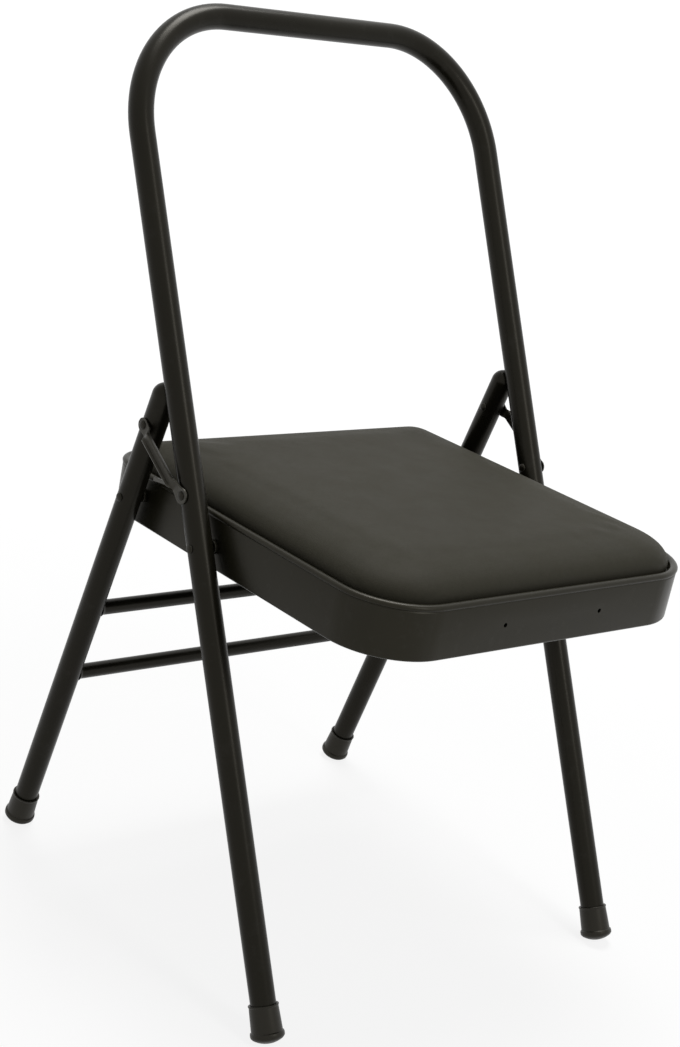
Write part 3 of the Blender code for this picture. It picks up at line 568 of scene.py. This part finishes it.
# %% Punch the two small holes in the pan's front wall
HOLE_HALF_SPACING = 0.0646
HOLE_RADIUS = 0.00225
hole_height = pan_top - 0.0282
for side in (-1, 1):
    hole = (side * HOLE_HALF_SPACING, pan_front, hole_height)
    punch(pan, hole, HOLE_RADIUS, 0.02, (pi / 2, 0, 0))
slope_seat(pan, 32.0)
deal([(pan, "seat_pan")], "seat")
print("pan:", len(pan.data.polygons), "faces, box", [round(v, 4) for v in pan.dimensions])

# %% Set a near-black disc behind each hole as painted shade inside the pan
# Painted shade: each near-black cup stands for the shade seen through a hole in the pan.
hole_shade_profile = [(0.0008, 0.0066), (0.0027, 0.0066), (0.0027, 0.0), (0.0034, 0.0)]
hole_shade_profile += [(0.0034, 0.0074), (0.0031, 0.0078), (0.0008, 0.0078)]
for side, side_name in ((-1, "left"), (1, "right")):
    hole_shade_disc = turned("insert_" + side_name, hole_shade_profile, 32)
    hole_shade_disc.rotation_euler = (-pi / 2, 0, 0)
    hole_shade_disc.location = (side * HOLE_HALF_SPACING, pan_front + SHEET + 0.0002, hole_height)
    settle(hole_shade_disc)
    slope_seat(hole_shade_disc, 40.0)
    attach(hole_shade_disc, "seat")
print("two inserts set")

# %% [markdown]
# ## The cushion
#
# The cushion is foam on a board, wrapped in faux leather that is pulled tight and stapled
# underneath. Its sides go down inside the rim and leave a narrow dark groove. It starts as a
# plain pad with broad, round shoulders, is divided evenly, and is then inflated a little as
# cloth, so that it swells the way stretched material does.

# %% Shape the plain pad
cushion_inset = pan_half - box_of("cushion_cover")[1].x + 0.0004
cushion_bottom = deck_height + 0.0003
shoulder_base = pan_top - 0.0006
CROWN = 0.003
shoulder_top = pan_top + 0.0245
cushion_top = shoulder_top + CROWN
SHOULDER = 0.060
cushion = rounded_plate("cushion", cushion_inset, cushion_bottom, 20)
state = (cushion_inset, cushion_bottom)
state = step_to(state, cushion_inset, shoulder_base)
for step in range(1, 15):
    angle = pi / 2 * step / 14
    inset = cushion_inset + SHOULDER * (1 - cos(angle))
    height = shoulder_base + (shoulder_top - shoulder_base) * sin(angle)
    if inset < REAR_CORNER - 0.008:
        state = step_to(state, inset, height)
    else:
        state = draw_in(state, inset, height)
pick_rim(cushion)
bpy.ops.mesh.edge_face_add()
bpy.ops.object.mode_set(mode="OBJECT")
face_outwards(cushion)
cushion.data.remesh_voxel_size = 0.0045
bpy.ops.object.voxel_remesh()
print("pad:", len(cushion.data.vertices), "points after the even division")


# %% Inflate the pad and keep its swelling within bounds
def smoothstep(value, low, high):
    """0 below low, 1 above high, with an even blend between."""
    share = min(max((value - low) / (high - low), 0.0), 1.0)
    return share * share * (3 - 2 * share)


def inflate(piece, frames, cap, hold_below):
    """Swell a closed pad by cloth pressure. Its base holds, and the foam keeps it from sinking."""
    drop_selection()
    bpy.context.view_layer.objects.active = piece
    piece.select_set(True)
    held = piece.vertex_groups.new(name="held")
    for vert in piece.data.vertices:
        if vert.co.z < hold_below:
            held.add([vert.index], 1.0, "REPLACE")
    rest = [vert.co.copy() for vert in piece.data.vertices]
    outwards = [vert.normal.copy() for vert in piece.data.vertices]
    modifier = piece.modifiers.new("Cloth", "CLOTH")
    modifier.settings.quality = 6
    modifier.settings.mass = 0.3
    modifier.settings.use_pressure = True
    modifier.settings.uniform_pressure_force = 4.0
    modifier.settings.tension_stiffness = 20.0
    modifier.settings.compression_stiffness = 20.0
    modifier.settings.bending_stiffness = 2.0
    modifier.settings.vertex_group_mass = "held"
    modifier.settings.effector_weights.gravity = 0.0
    modifier.point_cache.frame_start = 1
    modifier.point_cache.frame_end = frames
    scene = bpy.context.scene
    for number in range(1, frames + 1):
        scene.frame_set(number)
    shape = piece.evaluated_get(bpy.context.evaluated_depsgraph_get())
    swollen = [vert.co.copy() for vert in shape.data.vertices]
    piece.modifiers.remove(modifier)
    most = 0.0
    for vert, start, end, normal in zip(piece.data.vertices, rest, swollen, outwards):
        move = end - start
        most = max(most, move.length)
        move -= normal * min(move.dot(normal), 0.0)
        if move.length > cap:
            move = move.normalized() * cap
        vert.co = start + move
    scene.frame_set(1)
    print("largest free swelling %.1f mm, capped at %.1f mm" % (most * 1e3, cap * 1e3))


inflate(cushion, 20, 0.0016, shoulder_base - 0.001)

# %% Crown the top and smooth it
half_x = pan_half - cushion_inset - SHOULDER
half_y = (pan_rear - pan_front) / 2 - cushion_inset - SHOULDER
crown_height = cushion_top - max(vert.co.z for vert in cushion.data.vertices)
for vert in cushion.data.vertices:
    if vert.co.z > shoulder_base:
        across = min(abs(vert.co.x) / half_x, 1.0)
        along = min(abs(vert.co.y - pan_middle) / half_y, 1.0)
        lift = (1 - across ** 2.4) * (1 - along ** 2.4)
        vert.co.z += crown_height * lift
apply_modifier(cushion, "SMOOTH", factor=0.5, iterations=6)
apply_modifier(cushion, "SUBSURF", levels=1, render_levels=1)
slope_seat(cushion, 80.0)
deal([(cushion, "cushion_cover")], "seat")
fine_top = max(vert.co.z for vert in cushion.data.vertices)
print("cushion top %.1f mm, CAD top %.1f mm" % (fine_top * 1e3, box_of("cushion_cover")[1].z * 1e3))

# %% [markdown]
# ## The side links
#
# Each link is stamped from strip. Its two eyes lie flat on the tubes, the strap between is raised
# and has its long edges turned up for stiffness, the front eye's arm keeps a low rim on its upper
# edge, and a small tab slants out of the lower edge. By hand this is a strip that is extruded
# station by station, after which its height is pulled up and the tab is joined on.

# %% Extrude the strip
link_run = rear_eye - link_pivot
link_run.x = 0.0
link_length = link_run.length
EYE_FRONT = 0.008
EYE_REAR = 0.0072
STRAP_HALF = 0.006
FLAT_FRONT = 0.012
FLAT_REAR = 0.009
BLEND = 0.006


def strap_half(along):
    """Half of the link's width at a distance from its front pivot."""
    if along <= 0:
        return max(EYE_FRONT ** 2 - along ** 2, 0.0) ** 0.5
    if along >= link_length:
        return max(EYE_REAR ** 2 - (along - link_length) ** 2, 0.0) ** 0.5
    near = 1 - smoothstep(along, 0, FLAT_FRONT)
    far = smoothstep(along, link_length - FLAT_REAR, link_length)
    return STRAP_HALF + (EYE_FRONT - STRAP_HALF) * near + (EYE_REAR - STRAP_HALF) * far


stations = [-EYE_FRONT * cos(radians(a)) for a in (12, 24, 36, 48, 60, 72, 84)]
count = 60
stations += [link_length * i / count for i in range(count + 1)]
stations += [link_length + EYE_REAR * cos(radians(a)) for a in (84, 72, 60, 48, 36, 24, 12)]
stations = sorted(stations)
drop_selection()
bpy.ops.mesh.primitive_grid_add(x_subdivisions=1, y_subdivisions=6, size=1.0, location=(0, 0, 0))
link = bpy.context.object
link.name = "link_right"
edit(link)
pick(link, lambda p: p.x > 0)
bpy.ops.mesh.delete(type="VERT")
bpy.ops.mesh.select_all(action="SELECT")
first_half = strap_half(stations[0])
scale_about((-0.5, 0, 0), 1.0, 2 * first_half)
bpy.ops.transform.translate(value=(stations[0] + 0.5, 0, 0))
here, width = stations[0], first_half
for station in stations[1:]:
    if station - here < 1e-4:
        continue
    extrude((station - here, 0, 0))
    next_width = strap_half(station)
    scale_about((station, 0, 0), 1.0, next_width / width)
    here, width = station, next_width
bpy.ops.object.mode_set(mode="OBJECT")
print("link strip:", len(link.data.vertices), "points")

# %% Raise the strap, turn up its edges and thicken it
JOGGLE = 0.003
FLANGE = 0.0042
ARM_RIM = 0.0022
THICKNESS = 0.0015
strap_start = FLAT_FRONT + BLEND
strap_end = link_length - FLAT_REAR
for vert in link.data.vertices:
    along, across = vert.co.x, vert.co.y
    half = strap_half(along)
    share = across / half
    raised = smoothstep(along, FLAT_FRONT, strap_start)
    raised -= smoothstep(along, strap_end - BLEND, strap_end)
    edge = smoothstep(abs(share), 0.6, 1.0)
    rise = JOGGLE * raised + FLANGE * raised * edge
    if share < -0.6 and along < strap_start:
        rise = max(rise, ARM_RIM * edge * smoothstep(along, 0, FLAT_FRONT / 2))
    if abs(share) > 0.5:
        across = half * (1 if share > 0 else -1) * (0.78 + 0.22 * edge)
    vert.co = (along, across, rise)
apply_modifier(link, "SOLIDIFY", thickness=THICKNESS, offset=1.0, use_even_offset=True)
face_outwards(link)

# %% Join the slanting tab to the lower edge
TAB = ((0.0175, 0.0052), (0.0230, 0.0052), (0.0362, 0.0148), (0.0336, 0.0182))
tab_height = JOGGLE + FLANGE - 0.0005 - THICKNESS
drop_selection()
bpy.ops.mesh.primitive_plane_add(size=1.0, location=(0, 0, 0))
tab = bpy.context.object
edit(tab)
for start, end in zip(((-0.5, -0.5), (0.5, -0.5), (0.5, 0.5), (-0.5, 0.5)), TAB):
    pick(tab, lambda p: abs(p.x - start[0]) < 0.1 and abs(p.y - start[1]) < 0.1)
    bpy.ops.transform.translate(value=(end[0] - start[0], end[1] - start[1], tab_height))
bpy.ops.mesh.select_all(action="SELECT")
extrude((0, 0, THICKNESS))
bpy.ops.object.mode_set(mode="OBJECT")
face_outwards(tab)
apply_modifier(link, "BOOLEAN", operation="UNION", solver="EXACT", object=tab)
bpy.data.objects.remove(tab, do_unlink=True)
print("link:", len(link.data.polygons), "faces before its edges are broken")

# %% Carry the link to its pivots and mirror it
along_axis = link_run.normalized()
across_axis = Vector((0.0, along_axis.z, -along_axis.y))
out_axis = Vector((1.0, 0.0, 0.0))
web_plane = box_of("fold_link_right")[0].x
link_turn = Matrix((along_axis, across_axis, out_axis)).transposed().to_4x4()
link.data.transform(Matrix.Translation((web_plane, link_pivot.y, link_pivot.z)) @ link_turn)
face_outwards(link)
sharp = radians(50)
apply_modifier(link, "BEVEL", width=0.00035, segments=2, limit_method="ANGLE", angle_limit=sharp)
settle(link, 45.0)
link_left = copy_of(link, "link_left", flip=True)
deal(((link, "fold_link_right"), (link_left, "fold_link_left")), "links")
print("each link:", len(link.data.polygons), "faces")

# %% [markdown]
# ## Rivets and spacers
#
# The joints are riveted once and never opened, so each shows a low domed head outside and a set
# tail inside. One rivet of each length is turned and copied. The dome has a small flat rim, as
# the rivet set leaves it.


# %% Turn the rivets
def rivet_profile(outer, inner, inner_tail=True):
    """Profile of a rivet from its head's tip to its tail's tip, along X read as height."""
    head_radius = 0.0044
    head_height = 0.0018
    shank = 0.003
    points = dome(head_radius, head_height, outer - head_height, 8)
    rim = head_radius - 0.0001
    under_head = outer - head_height
    over_tail = inner + head_height
    points += [(rim, under_head - 0.00005), (shank, under_head - 0.0001)]
    if inner_tail:
        points += [(shank, over_tail + 0.0001), (rim, over_tail + 0.00005)]
        tail = dome(head_radius, head_height, 0.0, 8)
        points += [(radius, over_tail - rise) for radius, rise in reversed(tail)]
    else:
        points += [(shank, inner), (shank * 0.5, inner - 0.00001)]
    return points


def laid_across(name, profile, place, sides=32):
    """Turned piece laid along X, its top pointing outwards."""
    piece = turned(name, profile, sides)
    piece.rotation_euler = (0, pi / 2, 0)
    piece.location = (0, place.y, place.z)
    return settle(piece, 50.0)


for base, place, body, has_tail in (
    ("rivet_seat_front", seat_pivot, "front_frame", True),
    ("rivet_seat_rear", leg_pivot, "seat", True),
    ("rivet_link_front", link_pivot, "front_frame", True),
    ("rivet_link_rear", rear_eye, "links", False),
):
    low, high = box_of(base + "_right")
    profile = rivet_profile(high.x, low.x, has_tail)
    right_rivet = laid_across(base + "_head_right", profile, place)
    left_rivet = copy_of(right_rivet, base + "_head_left", flip=True)
    deal(((right_rivet, base + "_right"), (left_rivet, base + "_left")), body)
    print(base, "from %.1f to %.1f mm across" % (low.x * 1e3, high.x * 1e3))

# %% Turn the set tails and the spacers
tail_low, tail_high = box_of("rivet_tail_link_rear_right")
tail_profile = [(0.0015, tail_high.x), (0.003, tail_high.x - 0.0002)]
tail_profile += [(0.003, tail_low.x + 0.0019), (0.0043, tail_low.x + 0.00185)]
tail_dome = reversed(dome(0.0044, 0.0018, 0.0, 8))
tail_profile += [(radius, tail_low.x + 0.0018 - rise) for radius, rise in tail_dome]
ring_pieces = [("rivet_tail_link_rear", tail_profile, rear_eye, "rear_legs")]
for base, place, body in (
    ("spacer_seat_front", seat_pivot, "front_frame"),
    ("spacer_seat_rear", leg_pivot, "seat"),
):
    low, high = box_of(base + "_right")
    radius = (high.z - low.z) / 2
    chamfer = min(0.0003, (high.x - low.x) / 4)
    ring_pieces.append(
        (
            base,
            [
                (0.0033, high.x),
                (radius - chamfer, high.x),
                (radius, high.x - chamfer),
                (radius, low.x + chamfer),
                (radius - chamfer, low.x),
                (0.0033, low.x),
            ],
            place,
            body,
        )
    )
for base, profile, place, body in ring_pieces:
    right_piece = laid_across(base + "_turned_right", profile, place, 40)
    left_piece = copy_of(right_piece, base + "_turned_left", flip=True)
    deal(((right_piece, base + "_right"), (left_piece, base + "_left")), body)
print("turned", 2 * len(ring_pieces), "small pieces")

# %% [markdown]
# ## Board screws
#
# Four pan-head screws hold the board from below. They only show from underneath, where the
# crossed recess of the head is what the eye looks for.

# %% Turn one screw, cut its recess and copy it
screw_low, screw_high = box_of("board_screw_front_left")
screw_middle = (screw_low + screw_high) / 2
head_radius = (screw_high.x - screw_low.x) / 2
half_screw = 0.0055
screw_profile = [(0.0008, half_screw), (0.002, half_screw - 0.0016), (0.002, 0.0022 - half_screw)]
screw_profile += [(head_radius, 0.0021 - half_screw), (head_radius, 0.0014 - half_screw)]
screw_profile += [(head_radius * 0.93, 0.0007 - half_screw)]
screw_profile += [(head_radius * 0.7, 0.0002 - half_screw), (head_radius * 0.3, -half_screw)]
screw = turned("screw_front_left", screw_profile, 32)
for turn in (0, pi / 2):
    drop_selection()
    bpy.ops.mesh.primitive_cube_add(size=1.0, location=(0, 0, -half_screw), rotation=(0, 0, turn))
    blade = bpy.context.object
    blade.scale = (0.0048, 0.0009, 0.0028)
    apply_modifier(screw, "BOOLEAN", operation="DIFFERENCE", solver="EXACT", object=blade)
    bpy.data.objects.remove(blade, do_unlink=True)
screw.location = screw_middle
screw.rotation_euler = (-seat_slope, 0, 0)
settle(screw, 40.0)
for end in ("front", "rear"):
    for side_name in ("left", "right"):
        node = "board_screw_%s_%s" % (end, side_name)
        if node == "board_screw_front_left":
            piece = screw
        else:
            move = middle_of(node) - screw_middle
            piece = copy_of(screw, "screw_%s_%s" % (end, side_name), move)
        deal([(piece, node)], "seat")
print("screws done")

# %% [markdown]
# ## Writing finishes as expressions
#
# A finish is a formula: height here, colour there. The small class below wraps a socket, so that
# Python's own signs build the Math nodes, and one method adds any other node. Colours are mixed
# with Mix nodes, because a Math node would turn them grey.


# %% A value that Python can reckon with
class Value:
    """A number that varies over a surface."""

    def __init__(self, finish, socket):
        self.finish = finish
        self.socket = socket

    def reckon(self, operation, first, second):
        return self.finish.node("ShaderNodeMath", {"operation": operation}, [first, second])

    def __add__(self, other):
        return self.reckon("ADD", self, other)

    def __radd__(self, other):
        return self.reckon("ADD", other, self)

    def __sub__(self, other):
        return self.reckon("SUBTRACT", self, other)

    def __rsub__(self, other):
        return self.reckon("SUBTRACT", other, self)

    def __mul__(self, other):
        return self.reckon("MULTIPLY", self, other)

    def __rmul__(self, other):
        return self.reckon("MULTIPLY", other, self)

    def __pow__(self, other):
        return self.reckon("POWER", self, other)


class Finish:
    """A material that is built from expressions on a piece's own coordinates."""

    def __init__(self, name):
        self.material = bpy.data.materials.new(name)
        self.material.use_nodes = True
        self.tree = self.material.node_tree
        self.shader = self.tree.nodes["Principled BSDF"]
        self.place = self.node("ShaderNodeTexCoord", {}, {}, "Object")

    def node(self, kind, settings, inputs, output=0):
        """Add a node, set it up, feed it and return one of its outputs."""
        made = self.tree.nodes.new(kind)
        for name, value in settings.items():
            setattr(made, name, value)
        pairs = inputs.items() if isinstance(inputs, dict) else enumerate(inputs)
        for key, value in pairs:
            if isinstance(value, Value):
                self.tree.links.new(value.socket, made.inputs[key])
            else:
                made.inputs[key].default_value = value
        return Value(self, made.outputs[output])

    def stretched(self, scale, turn=(0, 0, 0)):
        """The piece's coordinates, scaled along each axis."""
        return self.node(
            "ShaderNodeMapping", {}, {"Vector": self.place, "Scale": scale, "Rotation": turn}
        )

    def noise(self, scale, detail=2.0, roughness=0.5, place=None):
        """Cloudy noise from 0 to 1, with a size of about one over its scale in metres."""
        inputs = {"Vector": place or self.place, "Scale": scale}
        inputs.update({"Detail": detail, "Roughness": roughness})
        return self.node("ShaderNodeTexNoise", {}, inputs)

    def cells(self, scale, feature="F1", place=None):
        """Distance to the nearest of many scattered points."""
        inputs = {"Vector": place or self.place, "Scale": scale}
        if feature == "SMOOTH_F1":
            inputs["Smoothness"] = 0.35
        return self.node("ShaderNodeTexVoronoi", {"feature": feature}, inputs)

    def between(self, value, low, high, new_low=0.0, new_high=1.0):
        """Map a range of values to another, clamped."""
        inputs = {"Value": value, "From Min": low, "From Max": high}
        inputs.update({"To Min": new_low, "To Max": new_high})
        return self.node("ShaderNodeMapRange", {}, inputs)

    def mix(self, share, first, second):
        """Mix two colours by a share."""
        made = self.tree.nodes.new("ShaderNodeMix")
        made.data_type = "RGBA"
        for number, value in ((0, share), (6, first), (7, second)):
            socket = made.inputs[number]
            if isinstance(value, Value):
                self.tree.links.new(value.socket, socket)
            else:
                socket.default_value = value if isinstance(value, float) else (*value, 1.0)
        return Value(self, made.outputs[2])

    def bump(self, height, distance, strength=1.0, under=None):
        """Turn a height from 0 to 1 into a bumped normal."""
        inputs = {"Height": height, "Distance": distance, "Strength": strength}
        if under is not None:
            inputs["Normal"] = under
        return self.node("ShaderNodeBump", {}, inputs)

    def feed(self, **inputs):
        """Feed or set the shader's sockets, named with underscores for spaces."""
        for name, value in inputs.items():
            socket = self.shader.inputs[name.replace("_", " ")]
            if isinstance(value, Value):
                self.tree.links.new(value.socket, socket)
            else:
                socket.default_value = value
        return self.material


# %% [markdown]
# ## Powder coat
#
# Powder is sprayed dry and melted, so the coat has a faint orange peel: shallow dimples about a
# millimetre across. Its colour is a warm near-black. Broad, faint clouds in roughness keep the
# long highlights on the tubes from looking printed.


# %% Make the powder coats
WARM_SHEEN = (1.0, 0.94, 0.80, 1.0)


def powder_coat(name, dark, light, roughness, level, peel=0.00002, waves=0.0):
    """Satin powder coat in a near-black, with orange peel and faint clouds."""
    coat = Finish(name)
    clouds = coat.noise(9.0, 3.0, 0.55)
    grain = coat.noise(420.0, 2.0, 0.5)
    dust = coat.between(coat.noise(60.0, 4.0, 0.7), 0.56, 0.80)
    tone = coat.between(clouds, 0.3, 0.7)
    colour = coat.mix(tone, dark, light)
    colour = coat.mix(dust * 0.10, colour, (0.10, 0.098, 0.090))
    rough = coat.between(clouds, 0.25, 0.75, roughness - 0.03, roughness + 0.04)
    rough = rough + grain * 0.03
    peel_height = coat.cells(620.0, "SMOOTH_F1") * 0.6 + grain * 0.4
    normal = coat.bump(peel_height, peel)
    if waves:
        normal = coat.bump(coat.noise(14.0, 1.0, 0.4), waves, 1.0, normal)
    coat.feed(Specular_IOR_Level=level, Specular_Tint=WARM_SHEEN)
    return coat.feed(Base_Color=colour, Roughness=rough, Normal=normal)


tube_coat = powder_coat(
    "tube_powder_coat", (0.0052, 0.0047, 0.0028), (0.0072, 0.0065, 0.0040), 0.28, 0.17
)
# Painted light: the pan wears the same powder coat as the tubes. Its colour is made lighter here to
# stand for the light its sheet catches.
pan_coat_with_painted_light = powder_coat(
    "pan_powder_coat", (0.0100, 0.0091, 0.0050), (0.0138, 0.0126, 0.0072), 0.31, 0.22, waves=0.00025
)
# Painted light: a lighter copy of the tubes' powder coat, standing for the light the links catch.
link_coat_with_painted_light = powder_coat(
    "link_powder_coat", (0.0170, 0.0160, 0.0120), (0.0230, 0.0220, 0.0170), 0.38, 0.40
)
rivet_coat = powder_coat(
    "rivet_coat", (0.0075, 0.0068, 0.0042), (0.0115, 0.0105, 0.0068), 0.38, 0.22, peel=0.000012
)
print("powder coats made")

# %% [markdown]
# ## Faux leather
#
# The cover is a knitted backing under a soft plastic skin, embossed with a fine pebble grain.
# The grain is made of small rounded cells with creases between them. Very soft, broad mottling
# shows where the skin was stretched over the foam.


# %% Make the faux leather
def faux_leather(name):
    """Matte embossed cover with a fine pebble grain and soft mottling."""
    skin = Finish(name)
    warp = skin.noise(90.0, 2.0, 0.5)
    pebbles = skin.cells(760.0, "SMOOTH_F1")
    creases = skin.between(skin.cells(760.0, "DISTANCE_TO_EDGE"), 0.0, 0.16)
    pores = skin.noise(2600.0, 1.0, 0.5)
    mottle = skin.between(skin.noise(17.0, 4.0, 0.62), 0.34, 0.68)
    fine = skin.between(skin.noise(210.0, 3.0, 0.6), 0.35, 0.70)
    colour = skin.mix(mottle, (0.0208, 0.0196, 0.0134), (0.0258, 0.0243, 0.0167))
    colour = skin.mix(fine * 0.35, colour, (0.0320, 0.0301, 0.0215))
    # Painted shade: the colour darkens in the creases between the pebbles.
    colour = skin.mix((1 - creases) * 0.35, colour, (0.0130, 0.0122, 0.0085))
    rough = skin.between(mottle, 0.0, 1.0, 0.60, 0.68) + warp * 0.04
    height = creases * 0.65 + (1 - pebbles) * 0.2 + pores * 0.15
    normal = skin.bump(height, 0.00007)
    normal = skin.bump(skin.noise(11.0, 2.0, 0.5), 0.0006, 1.0, normal)
    skin.feed(Specular_IOR_Level=0.16, Specular_Tint=WARM_SHEEN)
    return skin.feed(Base_Color=colour, Roughness=rough, Normal=normal)


cover_skin = faux_leather("cushion_faux_leather")
print("faux leather made")

# %% [markdown]
# ## Rubber, plywood, foam and zinc
#
# The feet are dull moulded rubber that picks up a little dust near the floor. The board shows
# its plies only at the edge, the foam its cells, and the screws a thin zinc plating. The last
# three are hidden unless the seat is seen from below or taken apart.


# %% Make the rubber and the inner finishes
def moulded_rubber(name, black=(0.0050, 0.0046, 0.0032)):
    """Dull rubber with a fine grain, dustier close to the floor."""
    rubber = Finish(name)
    height = rubber.node("ShaderNodeSeparateXYZ", {}, [rubber.place], "Z")
    low = rubber.between(height, 0.0, 0.018, 1.0, 0.0)
    grain = rubber.noise(900.0, 3.0, 0.6)
    dust = rubber.between(rubber.noise(160.0, 4.0, 0.65), 0.45, 0.75) * low
    colour = rubber.mix(dust * 0.4, black, (0.036, 0.033, 0.026))
    rough = 0.36 + dust * 0.2 + grain * 0.06
    normal = rubber.bump(grain, 0.00004)
    rubber.feed(Specular_IOR_Level=0.30, Specular_Tint=WARM_SHEEN)
    return rubber.feed(Base_Color=colour, Roughness=rough, Normal=normal)


def plywood(name):
    """Plywood with long grain on its faces and thin plies at its edge."""
    wood = Finish(name)
    grain = wood.noise(30.0, 5.0, 0.6, wood.stretched((9.0, 0.8, 1.0)))
    plies = {"Vector": wood.place, "Scale": 160.0}
    plies = wood.node("ShaderNodeTexWave", {"bands_direction": "Z"}, plies)
    colour = wood.mix(wood.between(grain, 0.35, 0.65), (0.40, 0.26, 0.14), (0.56, 0.40, 0.23))
    colour = wood.mix(plies * 0.3, colour, (0.26, 0.16, 0.08))
    return wood.feed(Base_Color=colour, Roughness=0.8, Normal=wood.bump(grain, 0.0001))


def open_foam(name):
    """Open-cell foam."""
    foam = Finish(name)
    cells = foam.cells(900.0)
    # Painted shade: the foam is darker in the low pits of its cells.
    colour = foam.mix(foam.between(cells, 0.1, 0.6), (0.42, 0.36, 0.22), (0.66, 0.60, 0.42))
    return foam.feed(Base_Color=colour, Roughness=0.95, Normal=foam.bump(cells, 0.0004))


def zinc_plate(name):
    """Thin zinc plating with dull spots."""
    zinc = Finish(name)
    spots = zinc.between(zinc.noise(500.0, 3.0, 0.6), 0.4, 0.7)
    colour = zinc.mix(spots, (0.52, 0.53, 0.54), (0.42, 0.42, 0.40))
    rough = 0.28 + spots * 0.2
    zinc.feed(Metallic=1.0, Normal=zinc.bump(spots, 0.00002))
    return zinc.feed(Base_Color=colour, Roughness=rough)


foot_rubber = moulded_rubber("foot_rubber")
# Painted shade: near-black rubber for the discs that stand for the shade inside the pan's holes.
hole_shade_black = moulded_rubber("insert_rubber", (0.0012, 0.0012, 0.0011))
board_ply = plywood("board_plywood")
seat_foam = open_foam("cushion_foam_cells")
screw_zinc = zinc_plate("screw_zinc")
print("inner finishes made")

# %% Give every piece its finish
finishes = (
    ("foot_", foot_rubber),
    ("front_tube", tube_coat),
    ("leg_", tube_coat),
    ("crossbar_", tube_coat),
    ("link_", link_coat_with_painted_light),
    ("rivet_", rivet_coat),
    ("spacer_", rivet_coat),
    # Painted shade: the near-black discs behind the pan's holes.
    ("insert_", hole_shade_black),
    ("pan", pan_coat_with_painted_light),
    ("cushion_foam", seat_foam),
    ("cushion", cover_skin),
    ("seat_board", board_ply),
    ("screw_", screw_zinc),
)
for piece in bpy.data.objects:
    if piece.type != "MESH" or piece.hide_render:
        continue
    for start, material in finishes:
        if piece.name.startswith(start):
            piece.data.materials.clear()
            piece.data.materials.append(material)
            break
    else:
        print("no finish for", piece.name)

# %% [markdown]
# ## Floor, walls of light and lamps
#
# The chair stands in a plain white studio. The floor is pale and takes a soft shadow, and what
# the camera sees beyond it is white. Two large soft lamps give the tubes their long, faint
# highlights, at a level at which a colour shows about as it is written.

# %% Lay the floor
drop_selection()
bpy.ops.mesh.primitive_plane_add(size=300.0, location=(0, 0, -0.0002))
floor = bpy.context.object
floor.name = "studio_floor"
floor_paint = Finish("floor_paint")
floor_grain = floor_paint.noise(0.8, 2.0, 0.5)
floor_tone = floor_paint.mix(floor_grain, (0.88, 0.88, 0.88), (0.92, 0.92, 0.92))
floor_paint.feed(Base_Color=floor_tone, Roughness=0.9, Specular_IOR_Level=0.1)
rays = floor_paint.tree.nodes.new("ShaderNodeLightPath")
camera_ray, glossy_ray, clear_ray = (
    Value(floor_paint, rays.outputs[name])
    for name in ("Is Camera Ray", "Is Glossy Ray", "Is Transmission Ray")
)
seen = camera_ray + glossy_ray + clear_ray
length = {"operation": "LENGTH"}
far = floor_paint.node("ShaderNodeVectorMath", length, [floor_paint.place], "Value")
share = seen * floor_paint.between(far, 0.5, 2.0, 0.82, 1.0)
glow = floor_paint.tree.nodes.new("ShaderNodeEmission")
glow.inputs["Color"].default_value = (1.0, 1.0, 1.0, 1.0)
glow.inputs["Strength"].default_value = 1.05
blend = floor_paint.tree.nodes.new("ShaderNodeMixShader")
surface = floor_paint.tree.nodes["Material Output"].inputs["Surface"]
floor_paint.tree.links.new(share.socket, blend.inputs[0])
floor_paint.tree.links.new(floor_paint.shader.outputs[0], blend.inputs[1])
floor_paint.tree.links.new(glow.outputs[0], blend.inputs[2])
floor_paint.tree.links.new(blend.outputs[0], surface)
floor.data.materials.append(floor_paint.material)

# %% Light the studio
world = bpy.data.worlds.new("studio")
bpy.context.scene.world = world
world.use_nodes = True
sky = world.node_tree
sky.nodes.clear()
light_path = sky.nodes.new("ShaderNodeLightPath")
seen = sky.nodes.new("ShaderNodeMath")
seen.operation = "MAXIMUM"
seen_clear = sky.nodes.new("ShaderNodeMath")
seen_clear.operation = "MAXIMUM"
sky.links.new(light_path.outputs["Is Camera Ray"], seen.inputs[0])
sky.links.new(light_path.outputs["Is Glossy Ray"], seen.inputs[1])
sky.links.new(seen.outputs[0], seen_clear.inputs[0])
sky.links.new(light_path.outputs["Is Transmission Ray"], seen_clear.inputs[1])
plain = sky.nodes.new("ShaderNodeBackground")
plain.inputs["Color"].default_value = (1.0, 1.0, 1.0, 1.0)
plain.inputs["Strength"].default_value = 0.18
white = sky.nodes.new("ShaderNodeBackground")
white.inputs["Color"].default_value = (1.0, 1.0, 1.0, 1.0)
white.inputs["Strength"].default_value = 1.0
choose = sky.nodes.new("ShaderNodeMixShader")
out = sky.nodes.new("ShaderNodeOutputWorld")
sky.links.new(seen_clear.outputs[0], choose.inputs[0])
sky.links.new(plain.outputs[0], choose.inputs[1])
sky.links.new(white.outputs[0], choose.inputs[2])
sky.links.new(choose.outputs[0], out.inputs[0])


def soft_lamp(name, place, aim, width, height, power):
    """Large soft lamp that looks at a point."""
    data = bpy.data.lights.new(name, "AREA")
    data.shape = "RECTANGLE"
    data.size = width
    data.size_y = height
    data.energy = power
    lamp = bpy.data.objects.new(name, data)
    bpy.context.scene.collection.objects.link(lamp)
    lamp.location = place
    lamp.rotation_euler = (Vector(aim) - Vector(place)).to_track_quat("-Z", "Y").to_euler()
    return lamp


soft_lamp("key_lamp", (0.45, 0.45, 2.6), (0, 0, 0.45), 1.0, 1.0, 40.0)
soft_lamp("fill_lamp", (0.2, -2.2, 2.0), (0, 0, 0.45), 0.6, 1.6, 14.0)
bpy.context.scene.view_settings.view_transform = "Standard"
print("lamps set")
